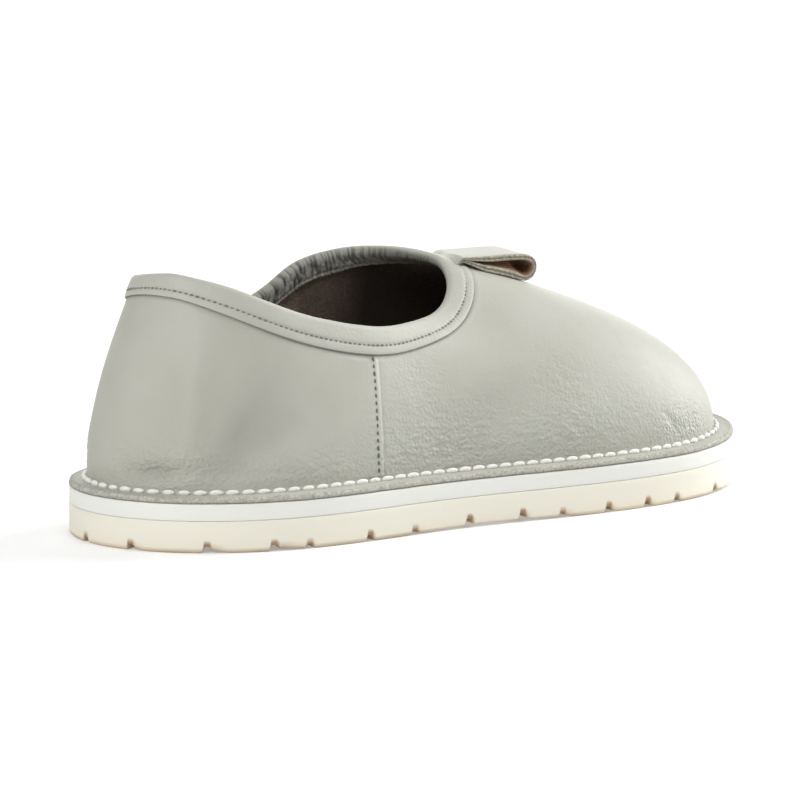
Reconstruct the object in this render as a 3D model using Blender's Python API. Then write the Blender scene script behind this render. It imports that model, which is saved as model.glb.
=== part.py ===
"""Right leather slip-on, stitch-down: notched outsole, midsole, insole, hollow upper, collar binding, throat tab.

Metres, +Z up. +X points to the toe and +Y to the inner side of the foot. The origin is on the floor under the
middle of the heel seat.
"""
import math
from collections import namedtuple

import bmesh
import bpy
import numpy as np
from mathutils import Vector
from mathutils.bvhtree import BVHTree

for old in list(bpy.data.objects):
    bpy.data.objects.remove(old, do_unlink=True)

# Driving sizes of the sole
SOLE_LENGTH = 0.265
BALL_WIDTH = 0.1047
HEEL_WIDTH = 0.0916
HEEL_SEAT = 0.036            # from the back of the sole forward to the origin
OUTSOLE_THICKNESS = 0.0108
MIDSOLE_THICKNESS = 0.0055
INSOLE_THICKNESS = 0.0030
EDGE_CHAMFER = 0.0010        # the outsole's lower edge
TOE_SPRING = 0.0020
SPRING_START = 0.80          # share of the length where the toe starts to rise
ARCH_LIFT = 0.0012           # the outsole's underside at the waist
ARCH_FROM, ARCH_TO = 0.34, 0.66

# Driving sizes of the upper
COLLAR_HEIGHT = 0.0885       # leather edge above the floor at the back of the heel
WALL = 0.0019
FLANGE_WIDTH = 0.0075        # the turned-out bottom edge, at its widest
FLANGE_FILLET = 0.0018
LAP_STEP = 0.0008            # the quarter's edge stands this proud of the vamp
LAP_LENGTH = 0.012           # and fades into the wall over this length
SEAM_ALONG = 0.345           # share of the length where the side seams meet the flange

# Driving sizes of the trim
BINDING_THICKNESS = 0.0012
BINDING_DEPTH = 0.0090       # outer leg, down from the collar's edge
BINDING_TURN_IN = 0.0085     # inner leg
TAB_WIDTH = 0.025
TAB_LENGTH = 0.0348
TAB_THICKNESS = 0.0022
TAB_HEIGHT = 0.0092          # of the open fold, outside
TAB_PINCH = 0.5              # share of the thickness that is left at the sewn end
TAB_SETBACK = 0.0045         # from the collar's edge forward to the sewn end
TAB_SIDE = 0.0125            # middle of the tab, towards the inner side
TAB_LIFT = 0.0004            # the lower layer's height over the vamp in front of the binding
TAB_DROP = 1.3               # binding depths from the collar's edge to where the lower layer leaves the binding
TAB_SLIT = 0.0001            # half the gap between the layers, where they meet behind the fold
TAB_OUTER = (0.08, 0.22, 0.40, 0.57)    # stations of the outer contour, as shares of TAB_LENGTH
TAB_INNER = (0.24, 0.34, 0.46, 0.58)    # stations of the inner contour
TAB_FOLD_BELOW = 0.74        # share of the length where the lower layer turns up into the fold
TAB_FOLD_ABOVE = 0.84        # and where the upper layer turns down

CLEARANCE = 0.0003           # between pieces that touch

# Driving sizes of the lug notches
NOTCH_HEIGHT = 0.0031
NOTCH_WIDTH = 0.0036         # at the ground
NOTCH_CROWN = 0.0022         # width at the notch's roof
NOTCH_REACH = 0.027          # inward from the edge of the sole
NOTCH_OVERSHOOT = 0.004      # the cutter starts this far outside the edge

# The outline of the sole, from the heel along the outer side to the toe and back along the inner side.
# along is a share of SOLE_LENGTH; the side is heel * HEEL_WIDTH + ball * BALL_WIDTH.
Outline = namedtuple("Outline", "along heel ball")
OUTLINE = [
    Outline(0.000, 0.000, 0.000),
    Outline(0.035, -0.287, 0.000),
    Outline(0.170, -0.538, 0.000),
    Outline(0.420, -0.275, -0.240),
    Outline(0.690, 0.000, -0.510),
    Outline(0.957, 0.000, -0.270),
    Outline(1.000, 0.000, 0.070),
    Outline(0.900, 0.000, 0.385),
    Outline(0.700, 0.000, 0.490),
    Outline(0.420, 0.475, 0.000),
    Outline(0.170, 0.462, 0.000),
    Outline(0.035, 0.287, 0.000),
]
TOE_ROW = 6

# The ribs of the upper. turn goes once round: 0 at the back of the heel, 0.5 at the toe, 1 at the heel again.
# flange and band are shares of FLANGE_WIDTH and BINDING_DEPTH. The collar's edge lies at along * SOLE_LENGTH,
# side * HEEL_WIDTH and height * COLLAR_HEIGHT. lean and rise place the curve's lower handle: outward as a share
# of the rib's run, and up as a share of its height. reach and drop place the upper handle the same way.
Rib = namedtuple("Rib", "turn flange along side height band lean rise reach drop")
RIBS = [
    Rib(0.000, 0.82, 0.096, 0.000, 0.990, 0.66, 0.02, 0.36, 0.45, 0.30),
    Rib(0.040, 0.86, 0.101, -0.110, 1.000, 0.70, 0.02, 0.36, 0.45, 0.30),
    Rib(0.070, 0.92, 0.115, -0.190, 0.992, 0.78, 0.02, 0.36, 0.45, 0.30),
    Rib(0.100, 0.96, 0.160, -0.290, 0.948, 0.98, 0.03, 0.35, 0.45, 0.30),
    Rib(0.140, 1.00, 0.245, -0.353, 0.846, 1.00, 0.00, 0.35, 0.45, 0.30),
    Rib(0.180, 1.00, 0.356, -0.345, 0.767, 0.94, -0.06, 0.36, 0.45, 0.30),
    Rib(0.220, 0.95, 0.428, -0.295, 0.760, 0.90, -0.02, 0.40, 0.45, 0.26),
    Rib(0.260, 0.90, 0.482, -0.232, 0.777, 0.88, 0.01, 0.45, 0.46, 0.24),
    Rib(0.300, 0.85, 0.520, -0.162, 0.815, 0.86, 0.01, 0.47, 0.48, 0.24),
    Rib(0.350, 0.82, 0.546, -0.088, 0.875, 0.86, 0.00, 0.48, 0.51, 0.26),
    Rib(0.400, 0.86, 0.557, -0.025, 0.927, 0.90, -0.01, 0.48, 0.54, 0.28),
    Rib(0.450, 0.96, 0.561, 0.032, 0.957, 0.94, -0.02, 0.48, 0.54, 0.28),
    Rib(0.500, 1.00, 0.561, 0.081, 0.971, 0.98, -0.02, 0.48, 0.54, 0.28),
    Rib(0.550, 0.98, 0.554, 0.136, 0.980, 1.00, -0.01, 0.48, 0.52, 0.27),
    Rib(0.600, 0.92, 0.539, 0.200, 0.989, 1.00, 0.01, 0.48, 0.50, 0.26),
    Rib(0.650, 0.90, 0.514, 0.260, 0.993, 1.00, 0.02, 0.47, 0.48, 0.25),
    Rib(0.700, 0.90, 0.475, 0.306, 0.989, 1.00, 0.03, 0.44, 0.46, 0.25),
    Rib(0.745, 0.90, 0.433, 0.335, 0.968, 1.00, 0.03, 0.41, 0.45, 0.28),
    Rib(0.775, 0.95, 0.390, 0.350, 0.928, 1.00, 0.02, 0.40, 0.45, 0.30),
    Rib(0.805, 1.00, 0.345, 0.350, 0.845, 1.00, 0.00, 0.38, 0.45, 0.30),
    Rib(0.835, 1.00, 0.290, 0.345, 0.790, 1.00, 0.00, 0.36, 0.45, 0.30),
    Rib(0.870, 1.00, 0.220, 0.325, 0.822, 1.00, 0.02, 0.35, 0.45, 0.30),
    Rib(0.910, 0.93, 0.148, 0.262, 0.915, 0.88, 0.03, 0.35, 0.45, 0.30),
    Rib(0.940, 0.86, 0.110, 0.183, 0.958, 0.78, 0.03, 0.36, 0.45, 0.30),
    Rib(0.970, 0.82, 0.097, 0.092, 0.976, 0.68, 0.02, 0.36, 0.45, 0.30),
]

# The lug notches seen on the outer side, repeated on the inner side. along is a share of SOLE_LENGTH, height a
# share of NOTCH_HEIGHT, reach a share of NOTCH_REACH.
Notch = namedtuple("Notch", "along height reach")
HEEL_NOTCH = Notch(0.000, 0.80, 0.45)    # a single one, in the middle of the heel's back
NOTCHES = [
    Notch(0.020, 0.80, 0.45),
    Notch(0.088, 1.00, 0.75),
    Notch(0.166, 1.00, 1.00),
    Notch(0.213, 0.70, 0.55),
    Notch(0.303, 1.00, 1.00),
    Notch(0.375, 0.70, 0.55),
    Notch(0.461, 1.00, 1.00),
    Notch(0.542, 1.00, 1.00),
    Notch(0.603, 0.70, 0.55),
    Notch(0.676, 1.00, 1.00),
    Notch(0.742, 1.00, 1.00),
    Notch(0.796, 0.80, 0.55),
    Notch(0.881, 0.80, 0.75),
    Notch(0.960, 0.60, 0.45),
]

# Mesh density
OUTLINE_STEPS = 40           # stations on each side of the sole
RIB_STATIONS = 76
FLANGE_SEGMENTS = 1
FILLET_SEGMENTS = 3
WALL_SEGMENTS = 9
RIM_SEGMENTS = 4
SEAM_PAIR = 0.0007           # turn from a seam to the rib on each side of it
SEAM_SPACE = 0.35            # no other rib is nearer to a seam, as a share of the ribs' spacing
STEP_MARGIN = 0.0012         # the lap's step ends this far below the binding
SAMPLES = 400                # along the outline, where it is measured
WALL_SAMPLES = 60
TAB_SAMPLES = 11

# Heights that follow from the layers
MIDSOLE_BOTTOM = OUTSOLE_THICKNESS + CLEARANCE
MIDSOLE_TOP = MIDSOLE_BOTTOM + MIDSOLE_THICKNESS
FLANGE_BOTTOM = MIDSOLE_TOP + CLEARANCE
FLANGE_TOP = FLANGE_BOTTOM + WALL


def closed_spline(knots, values, period):
    """Return a function that runs a periodic cubic through the values at the knots."""
    knots = np.asarray(knots, float)
    values = np.asarray(values, float)
    count = len(knots)
    gaps = np.diff(np.append(knots, knots[0] + period))
    slopes = (np.roll(values, -1, axis=0) - values) / gaps[:, None]
    system = np.zeros((count, count))
    target = np.zeros_like(values)
    for row in range(count):
        before = (row - 1) % count
        system[row, before] += gaps[before]
        system[row, row] += 2 * (gaps[before] + gaps[row])
        system[row, (row + 1) % count] += gaps[row]
        target[row] = 6 * (slopes[row] - slopes[before])
    bends = np.linalg.solve(system, target)

    def curve(where):
        place = (np.asarray(where, float) - knots[0]) % period + knots[0]
        row = np.clip(np.searchsorted(knots, place, side="right") - 1, 0, count - 1)
        after = (row + 1) % count
        gap = gaps[row][:, None]
        right = (place - knots[row])[:, None] / gap
        left = 1 - right
        bend = ((left ** 3 - left) * bends[row] + (right ** 3 - right) * bends[after]) * gap ** 2 / 6
        return left * values[row] + right * values[after] + bend

    return curve


def outline_rows():
    """The outline's points in metres, in the part's frame."""
    return np.array([
        (row.along * SOLE_LENGTH - HEEL_SEAT, row.heel * HEEL_WIDTH + row.ball * BALL_WIDTH)
        for row in OUTLINE
    ])


def make_outline():
    """Return a function of turn: the sole's edge, each side measured by its own arc length."""
    rows = outline_rows()
    chords = np.linalg.norm(np.roll(rows, -1, axis=0) - rows, axis=1)
    knots = np.concatenate([[0], np.cumsum(chords)[:-1]])
    curve = closed_spline(knots, rows, chords.sum())
    sides = []
    for start, end, first in ((0.0, knots[TOE_ROW], 0.0), (knots[TOE_ROW], chords.sum(), 0.5)):
        places = np.linspace(start, end, SAMPLES)
        points = curve(places)
        run = np.concatenate([[0], np.cumsum(np.linalg.norm(np.diff(points, axis=0), axis=1))])
        sides.append((first + 0.5 * run / run[-1], places))
    turns = np.concatenate([sides[0][0], sides[1][0][1:]])
    places = np.concatenate([sides[0][1], sides[1][1][1:]])
    return lambda turn: curve(np.interp(np.asarray(turn) % 1.0, turns, places))


edge_of_sole = make_outline()


def inward(turn):
    """Unit vectors in the floor's plane, from the sole's edge to its inside."""
    step = 0.0005
    along = edge_of_sole(turn + step) - edge_of_sole(turn - step)
    along /= np.linalg.norm(along, axis=1)[:, None]
    return np.column_stack([-along[:, 1], along[:, 0]])


def outline(turn, inset):
    """The sole's edge at each turn, moved in by inset."""
    turn = np.asarray(turn, float)
    return edge_of_sole(turn) + inward(turn) * np.broadcast_to(inset, turn.shape)[:, None]


def share_along(x):
    return (np.asarray(x) + HEEL_SEAT) / SOLE_LENGTH


def toe_lift(x):
    """How far every layer rises at x, towards the toe."""
    rise = np.clip((share_along(x) - SPRING_START) / (1 - SPRING_START), 0, None)
    return TOE_SPRING * rise ** 2


def underside(x):
    """The outsole's lower face: flat at heel and forefoot, lifted at the waist and the toe."""
    waist = np.clip((share_along(x) - ARCH_FROM) / (ARCH_TO - ARCH_FROM), 0, 1)
    return toe_lift(x) + ARCH_LIFT * np.sin(math.pi * waist) ** 2


def turn_at(along, side):
    """The turn at which the sole's edge passes a share of its length, on side -1 (outer) or 1 (inner)."""
    turns = np.linspace(0.0 if side < 0 else 1.0, 0.5, SAMPLES)
    return float(np.interp(along, share_along(edge_of_sole(turns)[:, 0]), turns))


def material(name, colour, roughness):
    made = bpy.data.materials.new(name)
    made.use_nodes = True
    shader = made.node_tree.nodes["Principled BSDF"]
    shader.inputs["Base Color"].default_value = (*colour, 1.0)
    shader.inputs["Roughness"].default_value = roughness
    shader.inputs["Metallic"].default_value = 0.0
    made.diffuse_color = (*colour, 1.0)
    return made


def solid(name, points, faces, finish):
    """Make an object from points and faces, with its faces pointing out."""
    mesh = bpy.data.meshes.new(name)
    mesh.from_pydata([tuple(point) for point in points], [], faces)
    shape = bmesh.new()
    shape.from_mesh(mesh)
    bmesh.ops.recalc_face_normals(shape, faces=shape.faces[:])
    shape.to_mesh(mesh)
    shape.free()
    mesh.shade_smooth()
    mesh.set_sharp_from_angle(angle=math.radians(35))
    made = bpy.data.objects.new(name, mesh)
    made.data.materials.append(finish)
    bpy.context.scene.collection.objects.link(made)
    return made


def slab(name, rings, finish):
    """A flat layer of the sole, from rings of (inset, height of x) between its lower and its upper face."""
    count = 2 * OUTLINE_STEPS
    turns = np.arange(count) / count
    points = []
    for inset, height in rings:
        ring = outline(turns, inset)
        points += [(x, y, z) for (x, y), z in zip(ring, height(ring[:, 0]))]
    faces = []
    for level in range(len(rings) - 1):
        base = level * count
        for here in range(count):
            after = (here + 1) % count
            faces.append((base + here, base + after, base + count + after, base + count + here))
    for base in (0, (len(rings) - 1) * count):
        for here in range(OUTLINE_STEPS):
            outer = (base + here, base + here + 1)
            inner = (base + (count - here - 1) % count, base + (count - here) % count)
            face = [outer[0], outer[1], inner[0], inner[1]]
            faces.append(tuple(dict.fromkeys(face)))
    return solid(name, points, faces, finish)


def notch_cutter():
    """One mesh of tapered bars, each running in from the sole's edge at a notch and down through the floor."""
    places = [(0.0, HEEL_NOTCH)] + [(turn_at(row.along, side), row) for row in NOTCHES for side in (-1, 1)]
    points, faces = [], []
    for turn, row in places:
        edge = edge_of_sole([turn])[0]
        into = inward(np.array([turn]))[0]
        across = np.array([-into[1], into[0]])
        roof = underside(edge[0]) + NOTCH_HEIGHT * row.height
        base = len(points)
        for depth in (-NOTCH_OVERSHOOT, NOTCH_REACH * row.reach):
            for half, height in ((NOTCH_WIDTH - NOTCH_CROWN / 2, -roof), (NOTCH_CROWN / 2, roof)):
                for side in (-1, 1):
                    points.append((*(edge + into * depth + across * side * half), height))
        faces += [tuple(base + corner for corner in face) for face in (
            (0, 1, 3, 2), (4, 5, 7, 6), (0, 1, 5, 4), (2, 3, 7, 6), (0, 2, 6, 4), (1, 3, 7, 5))]
    return points, faces


rib_rows = closed_spline([row.turn for row in RIBS], [row[1:] for row in RIBS], 1.0)


def flange_width(turn):
    return rib_rows(turn)[:, 0] * FLANGE_WIDTH


def wall(turn, height):
    """The upper's outer face: height 0 at the top of the flange's fillet, 1 at the collar's edge."""
    turn = np.asarray(turn, float)
    height = np.asarray(height, float)
    _, along, side, tall, _, lean, rise, reach, drop = rib_rows(turn).T
    into = inward(turn)
    foot = outline(turn, flange_width(turn))
    collar = np.column_stack([
        along * SOLE_LENGTH - HEEL_SEAT, side * HEEL_WIDTH, tall * COLLAR_HEIGHT])
    foot = np.column_stack([foot, FLANGE_TOP + toe_lift(foot[:, 0]) + FLANGE_FILLET])
    span = collar - foot
    run = np.linalg.norm(span[:, :2], axis=1)
    lower = foot.copy()
    lower[:, :2] -= into * (lean * run)[:, None]
    lower[:, 2] += rise * span[:, 2]
    upper = collar.copy()
    upper[:, :2] -= span[:, :2] * reach[:, None]
    upper[:, 2] -= drop * span[:, 2]
    t = height[:, None]
    return (foot * (1 - t) ** 3 + 3 * lower * t * (1 - t) ** 2 + 3 * upper * t ** 2 * (1 - t) + collar * t ** 3)


def wall_normal(turn, height):
    """Unit vectors out of the wall."""
    step = 0.0015
    up = wall(turn, np.clip(height + step, 0, 1)) - wall(turn, np.clip(height - step, 0, 1))
    around = wall(turn + step, height) - wall(turn - step, height)
    normal = np.cross(around, up)
    return normal / np.linalg.norm(normal, axis=1)[:, None]


def seam_turns():
    """The turns of the two side seams, outer side first."""
    return turn_at(SEAM_ALONG, -1), turn_at(SEAM_ALONG, 1)


def stations():
    """Turns of the ribs: evenly spread, with a close pair at each seam for the lap's edge."""
    outer, inner = seam_turns()
    even = [turn for turn in np.arange(RIB_STATIONS) / RIB_STATIONS
            if min(abs(turn - outer), abs(turn - inner)) > SEAM_SPACE / RIB_STATIONS]
    pairs = [outer - SEAM_PAIR, outer + SEAM_PAIR, inner - SEAM_PAIR, inner + SEAM_PAIR]
    return np.array(sorted(even + pairs))


def lap(turn):
    """How proud the quarter stands: full at its front edge, fading towards the heel, none on the vamp."""
    outer, inner = seam_turns()
    girth = np.linalg.norm(np.diff(edge_of_sole(np.linspace(0, 1, SAMPLES)), axis=0), axis=1).sum()
    fade = LAP_LENGTH / girth
    behind_outer = (outer - turn) / fade
    behind_inner = (turn - inner) / fade
    behind = np.where(turn < 0.5, behind_outer, behind_inner)
    return np.where(behind > 0, LAP_STEP * np.clip(1 - behind, 0, 1), 0.0)


def binding_depth(turn):
    return rib_rows(turn)[:, 4] * BINDING_DEPTH


def heights_below_collar(turn, distances):
    """The wall's heights at given distances down from the collar's edge, one column for each distance.

    Each distance is a number, or one number for each turn.
    """
    levels = np.linspace(0, 1, WALL_SAMPLES)
    spots = np.stack([wall(turn, np.full(len(turn), level)) for level in levels])
    steps = np.linalg.norm(np.diff(spots, axis=0), axis=2)
    run = np.concatenate([np.zeros((1, len(turn))), np.cumsum(steps[::-1], axis=0)])
    asked = np.column_stack([np.broadcast_to(distance, len(turn)) for distance in distances])
    return np.array([
        np.interp(asked[here], run[:, here], levels[::-1]) for here in range(len(turn))])


def ring_solid(name, rings, finish):
    """Close a list of rings, each a closed loop round the shoe, into one tube-like solid."""
    count = len(rings[0])
    points = np.concatenate(rings)
    faces = []
    for level in range(len(rings)):
        base = level * count
        next_base = (level + 1) % len(rings) * count
        for here in range(count):
            after = (here + 1) % count
            faces.append((base + here, base + after, next_base + after, next_base + here))
    return solid(name, points, faces, finish)


def upper_rings(turn):
    """Rings of the upper's outer face from the flange's edge to the collar, and the inner face's, the same way."""
    lift = toe_lift(outline(turn, flange_width(turn))[:, 0])
    edge = outline(turn, 0.0)
    foot_inset = flange_width(turn)
    fillet_out = outline(turn, foot_inset - FLANGE_FILLET)
    foot = outline(turn, foot_inset)
    top = np.full(len(turn), FLANGE_TOP) + lift
    edge_top = np.full(len(turn), FLANGE_TOP) + toe_lift(edge[:, 0])
    outer, normals = [], []
    up = np.tile([0.0, 0.0, 1.0], (len(turn), 1))
    for share in np.linspace(0, 1, FLANGE_SEGMENTS + 1):
        flat = edge * (1 - share) + fillet_out * share
        outer.append(np.column_stack([flat, edge_top * (1 - share) + top * share]))
        normals.append(up)
    out = np.column_stack([-inward(turn), np.zeros(len(turn))])
    foot_normal = wall_normal(turn, np.zeros(len(turn)))
    for step in range(1, FILLET_SEGMENTS):
        angle = math.pi / 2 * step / FILLET_SEGMENTS
        spot = np.column_stack([foot, top + FLANGE_FILLET])
        spot += out * FLANGE_FILLET * (1 - math.sin(angle))
        spot[:, 2] -= FLANGE_FILLET * math.cos(angle)
        lean = up * math.cos(angle) + foot_normal * math.sin(angle)
        outer.append(spot)
        normals.append(lean / np.linalg.norm(lean, axis=1)[:, None])
    for level in np.linspace(0, 1, WALL_SEGMENTS + 1):
        height = np.full(len(turn), level)
        outer.append(wall(turn, height))
        normals.append(wall_normal(turn, height))
    inner = [ring - WALL * normal for ring, normal in zip(outer, normals)]
    proud = lap(turn)
    below_binding = heights_below_collar(turn, [binding_depth(turn) + STEP_MARGIN])[:, 0]
    first_wall = FLANGE_SEGMENTS + FILLET_SEGMENTS
    for level in range(WALL_SEGMENTS):
        height = level / WALL_SEGMENTS
        rise = proud * np.clip((below_binding - height) * WALL_SEGMENTS, 0, 1)
        outer[first_wall + level] = outer[first_wall + level] + normals[first_wall + level] * rise[:, None]
    return outer, inner


def binding_rings(turn):
    """Rings of the collar binding: down the outside, over the edge and down the inside, then back under."""
    depth = binding_depth(turn)
    depths = heights_below_collar(turn, [0.0, depth, depth / 2, BINDING_TURN_IN])
    far = CLEARANCE + BINDING_THICKNESS

    def leg(column, offset):
        height = depths[:, column]
        return wall(turn, height) + wall_normal(turn, height) * offset

    rim = np.ones(len(turn))
    normal = wall_normal(turn, rim)
    middle = wall(turn, rim) - normal * WALL / 2
    up = wall(turn, rim) - wall(turn, rim - 0.01)
    up /= np.linalg.norm(up, axis=1)[:, None]

    def over(radius):
        angles = np.linspace(0, math.pi, RIM_SEGMENTS + 1)
        return [middle + (normal * math.cos(angle) + up * math.sin(angle)) * radius for angle in angles]

    outer = [leg(1, far), leg(2, far)] + over(WALL / 2 + far)
    inside = [leg(3, -WALL - far), leg(3, -WALL - CLEARANCE)]
    under = over(WALL / 2 + CLEARANCE)[::-1] + [leg(2, CLEARANCE), leg(1, CLEARANCE)]
    return outer + inside + under


def tab_contours(support):
    """The tab seen from its side, outer and inner contour as (forward, height) from the sewn end round.

    support gives the height of what the tab lies on. The lower layer follows it, the upper one runs level, and
    both end in a soft fold that is longer below than above.
    """
    low, crown = TAB_FOLD_BELOW * TAB_LENGTH, TAB_FOLD_ABOVE * TAB_LENGTH
    half = TAB_HEIGHT / 2
    middle = support(low) + half
    back_top = support(0.0) + TAB_PINCH * TAB_THICKNESS

    def top(forward):
        return back_top + (middle + half - back_top) * forward / crown

    def contour(shares, inset):
        below, above = [], []
        for share in shares:
            forward = share * TAB_LENGTH
            centre = (support(forward) + top(forward)) / 2
            slit = TAB_SLIT if inset else 0.0
            below.append((forward, min(support(forward) + inset, centre - slit)))
            above.append((forward, max(top(forward) - inset, centre + slit)))
        fold = []
        for angle in np.radians(np.arange(-90.0, 91.0, 22.5)):
            start = low if angle < 0 else crown
            reach = (TAB_LENGTH - start - inset) * math.cos(angle)
            fold.append((start + reach, middle + (half - inset) * math.sin(angle)))
        return below + fold + above[::-1]

    outer = contour(TAB_OUTER, 0.0)
    outer[-1] = (0.0, back_top)    # the upper layer reaches furthest back
    return outer, contour(TAB_INNER, TAB_THICKNESS)


LEATHER = material("grey_leather", (0.50, 0.50, 0.45), 0.55)
TRIM = material("binding_leather", (0.52, 0.52, 0.47), 0.5)
SUEDE = material("brown_suede", (0.10, 0.07, 0.055), 0.95)
FOAM = material("white_foam", (0.80, 0.80, 0.76), 0.6)
CREAM = material("cream_rubber", (0.76, 0.70, 0.58), 0.65)


def build_outsole():
    rings = [
        (EDGE_CHAMFER, underside),
        (0.0, lambda x: underside(x) + EDGE_CHAMFER),
        (0.0, lambda x: toe_lift(x) + OUTSOLE_THICKNESS),
    ]
    outsole = slab("outsole", rings, CREAM)
    points, faces = notch_cutter()
    cutter = solid("notch_cutter", points, faces, CREAM)
    cutter.hide_render = True
    cutter.display_type = "WIRE"
    cut = outsole.modifiers.new("notches", "BOOLEAN")
    cut.operation = "DIFFERENCE"
    cut.object = cutter
    return outsole


def build_midsole():
    return slab("midsole", [
        (0.0, lambda x: toe_lift(x) + MIDSOLE_BOTTOM),
        (0.0, lambda x: toe_lift(x) + MIDSOLE_TOP),
    ], FOAM)


def build_insole():
    turns = np.arange(2 * OUTLINE_STEPS) / (2 * OUTLINE_STEPS)
    inset = flange_width(turns) + WALL + 2 * CLEARANCE
    return slab("insole", [
        (inset, lambda x: toe_lift(x) + FLANGE_BOTTOM),
        (inset, lambda x: toe_lift(x) + FLANGE_BOTTOM + INSOLE_THICKNESS),
    ], SUEDE)


def build_upper():
    outer, inner = upper_rings(stations())
    return ring_solid("upper", outer + inner[::-1], LEATHER)


def build_binding():
    return ring_solid("collar_binding", binding_rings(stations()), TRIM)


def build_tab(upper):
    """The throat tab, from the collar binding forward over the vamp, level from side to side."""
    tree = BVHTree.FromPolygons(
        [vertex.co for vertex in upper.data.vertices], [face.vertices for face in upper.data.polygons])
    collar = wall(np.linspace(0, 1, SAMPLES), np.ones(SAMPLES))
    back = collar[:, 0].max() + TAB_SETBACK
    sides = TAB_SIDE + TAB_WIDTH * np.linspace(-0.5, 0.5, TAB_SAMPLES)

    def support(forward):
        heights = [tree.ray_cast(Vector((back + forward, y, 1.0)), Vector((0, 0, -1)))[0].z for y in sides]
        on_binding = BINDING_THICKNESS + 2 * CLEARANCE
        past = min(max((forward + TAB_SETBACK) / BINDING_DEPTH - TAB_DROP, 0.0), 1.0)
        return max(heights) + on_binding * (1 - past) + TAB_LIFT * past

    outer, inner = tab_contours(support)
    count = len(outer)
    points = []
    for y in (sides[0], sides[-1]):
        for contour in (outer, inner):
            points += [(back + forward, y, height) for forward, height in contour]
    faces = []
    for spot in range(count):
        after = (spot + 1) % count
        for start, end in ((0, 2), (1, 3), (0, 1), (2, 3)):
            here, there = start * count, end * count
            faces.append((here + spot, here + after, there + after, there + spot))
    return solid("throat_tab", points, faces, LEATHER)


build_outsole()
build_midsole()
build_insole()
upper = build_upper()
build_binding()
build_tab(upper)
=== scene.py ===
"""The looks of a right leather slip-on, stitch-down made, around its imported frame.

Metres, +Z up. +X points to the toe and +Y to the inner side of the foot. The leather pieces are drawn again from the
outline and the ribs of the solids, with finer meshes, folds, stitches, grain and raw edges.
"""
import math
from collections import namedtuple

import bpy
import numpy as np
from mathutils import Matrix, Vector, noise
from mathutils.bvhtree import BVHTree


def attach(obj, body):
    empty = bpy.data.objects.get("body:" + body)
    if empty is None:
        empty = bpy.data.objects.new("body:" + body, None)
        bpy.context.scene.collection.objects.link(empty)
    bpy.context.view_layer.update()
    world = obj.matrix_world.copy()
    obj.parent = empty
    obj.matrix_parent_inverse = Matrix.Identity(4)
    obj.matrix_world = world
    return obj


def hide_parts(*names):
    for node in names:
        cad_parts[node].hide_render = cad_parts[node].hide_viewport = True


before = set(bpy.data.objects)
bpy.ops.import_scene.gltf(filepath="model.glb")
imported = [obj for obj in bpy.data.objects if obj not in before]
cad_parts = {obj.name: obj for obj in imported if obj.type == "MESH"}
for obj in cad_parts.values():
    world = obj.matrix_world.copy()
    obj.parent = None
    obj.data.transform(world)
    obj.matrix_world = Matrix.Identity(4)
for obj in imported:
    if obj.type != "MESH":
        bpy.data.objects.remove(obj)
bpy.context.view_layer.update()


# Camera and studio
# A long lens looks at the shoe's outer side from behind, a little above it. The one shoe fills the frame, at the
# angle and from the distance that the photograph has.
VIEW_AZIMUTH = math.radians(-34.0)
VIEW_ELEVATION = math.radians(8.89)
VIEW_DISTANCE = 1.588
LENS, SENSOR = 203.2, 36.0       # millimetres
WATCHED = Vector((0.0965, 0.0, 0.040))
AIM_LEFT, AIM_DOWN = 0.0027, 0.0019     # slopes at which the lens looks past the watched point

back = Vector((
    math.sin(VIEW_AZIMUTH) * math.cos(VIEW_ELEVATION),
    -math.cos(VIEW_AZIMUTH) * math.cos(VIEW_ELEVATION),
    math.sin(VIEW_ELEVATION)))
camera = bpy.data.objects.new("camera", bpy.data.cameras.new("camera"))
camera.data.lens = LENS
camera.data.sensor_width = SENSOR
camera.data.clip_start, camera.data.clip_end = 0.05, 20.0
camera.location = WATCHED + back * VIEW_DISTANCE
right = Vector((math.cos(VIEW_AZIMUTH), math.sin(VIEW_AZIMUTH), 0.0))
look = -back - right * AIM_LEFT - back.cross(right) * AIM_DOWN
camera.rotation_euler = look.to_track_quat("-Z", "Y").to_euler()
bpy.context.scene.collection.objects.link(camera)
bpy.context.scene.camera = camera
bpy.context.scene.view_settings.view_transform = "Standard"


def new_finish(name, colour, roughness, specular=0.5):
    """A material with one colour, roughness and specular level, set on its shader's own sockets."""
    made = bpy.data.materials.new(name)
    made.use_nodes = True
    shader = made.node_tree.nodes["Principled BSDF"]
    shader.inputs["Base Color"].default_value = (*colour, 1.0)
    shader.inputs["Roughness"].default_value = roughness
    shader.inputs["Specular IOR Level"].default_value = specular
    made.diffuse_color = (*colour, 1.0)
    return made, made.node_tree, shader


def add_mesh(name, points, faces, finishes):
    """Make a smooth object at the origin from points and faces."""
    mesh = bpy.data.meshes.new(name)
    mesh.from_pydata(np.asarray(points).tolist(), [], faces)
    mesh.validate()
    mesh.shade_smooth()
    for finish in finishes:
        mesh.materials.append(finish)
    made = bpy.data.objects.new(name, mesh)
    bpy.context.scene.collection.objects.link(made)
    return made


def add_light(name, azimuth, elevation, softness, strength):
    """A far light as wide as softness, in degrees. Its strength is what a white surface facing it would show."""
    light = bpy.data.lights.new(name, "SUN")
    light.angle = math.radians(softness)
    light.energy = strength * math.pi
    turn, rise = math.radians(azimuth), math.radians(elevation)
    away = Vector((math.sin(turn) * math.cos(rise), -math.cos(turn) * math.cos(rise), math.sin(rise)))
    made = bpy.data.objects.new(name, light)
    made.location = WATCHED + away
    made.rotation_euler = (-away).to_track_quat("-Z", "Y").to_euler()
    bpy.context.scene.collection.objects.link(made)


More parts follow.
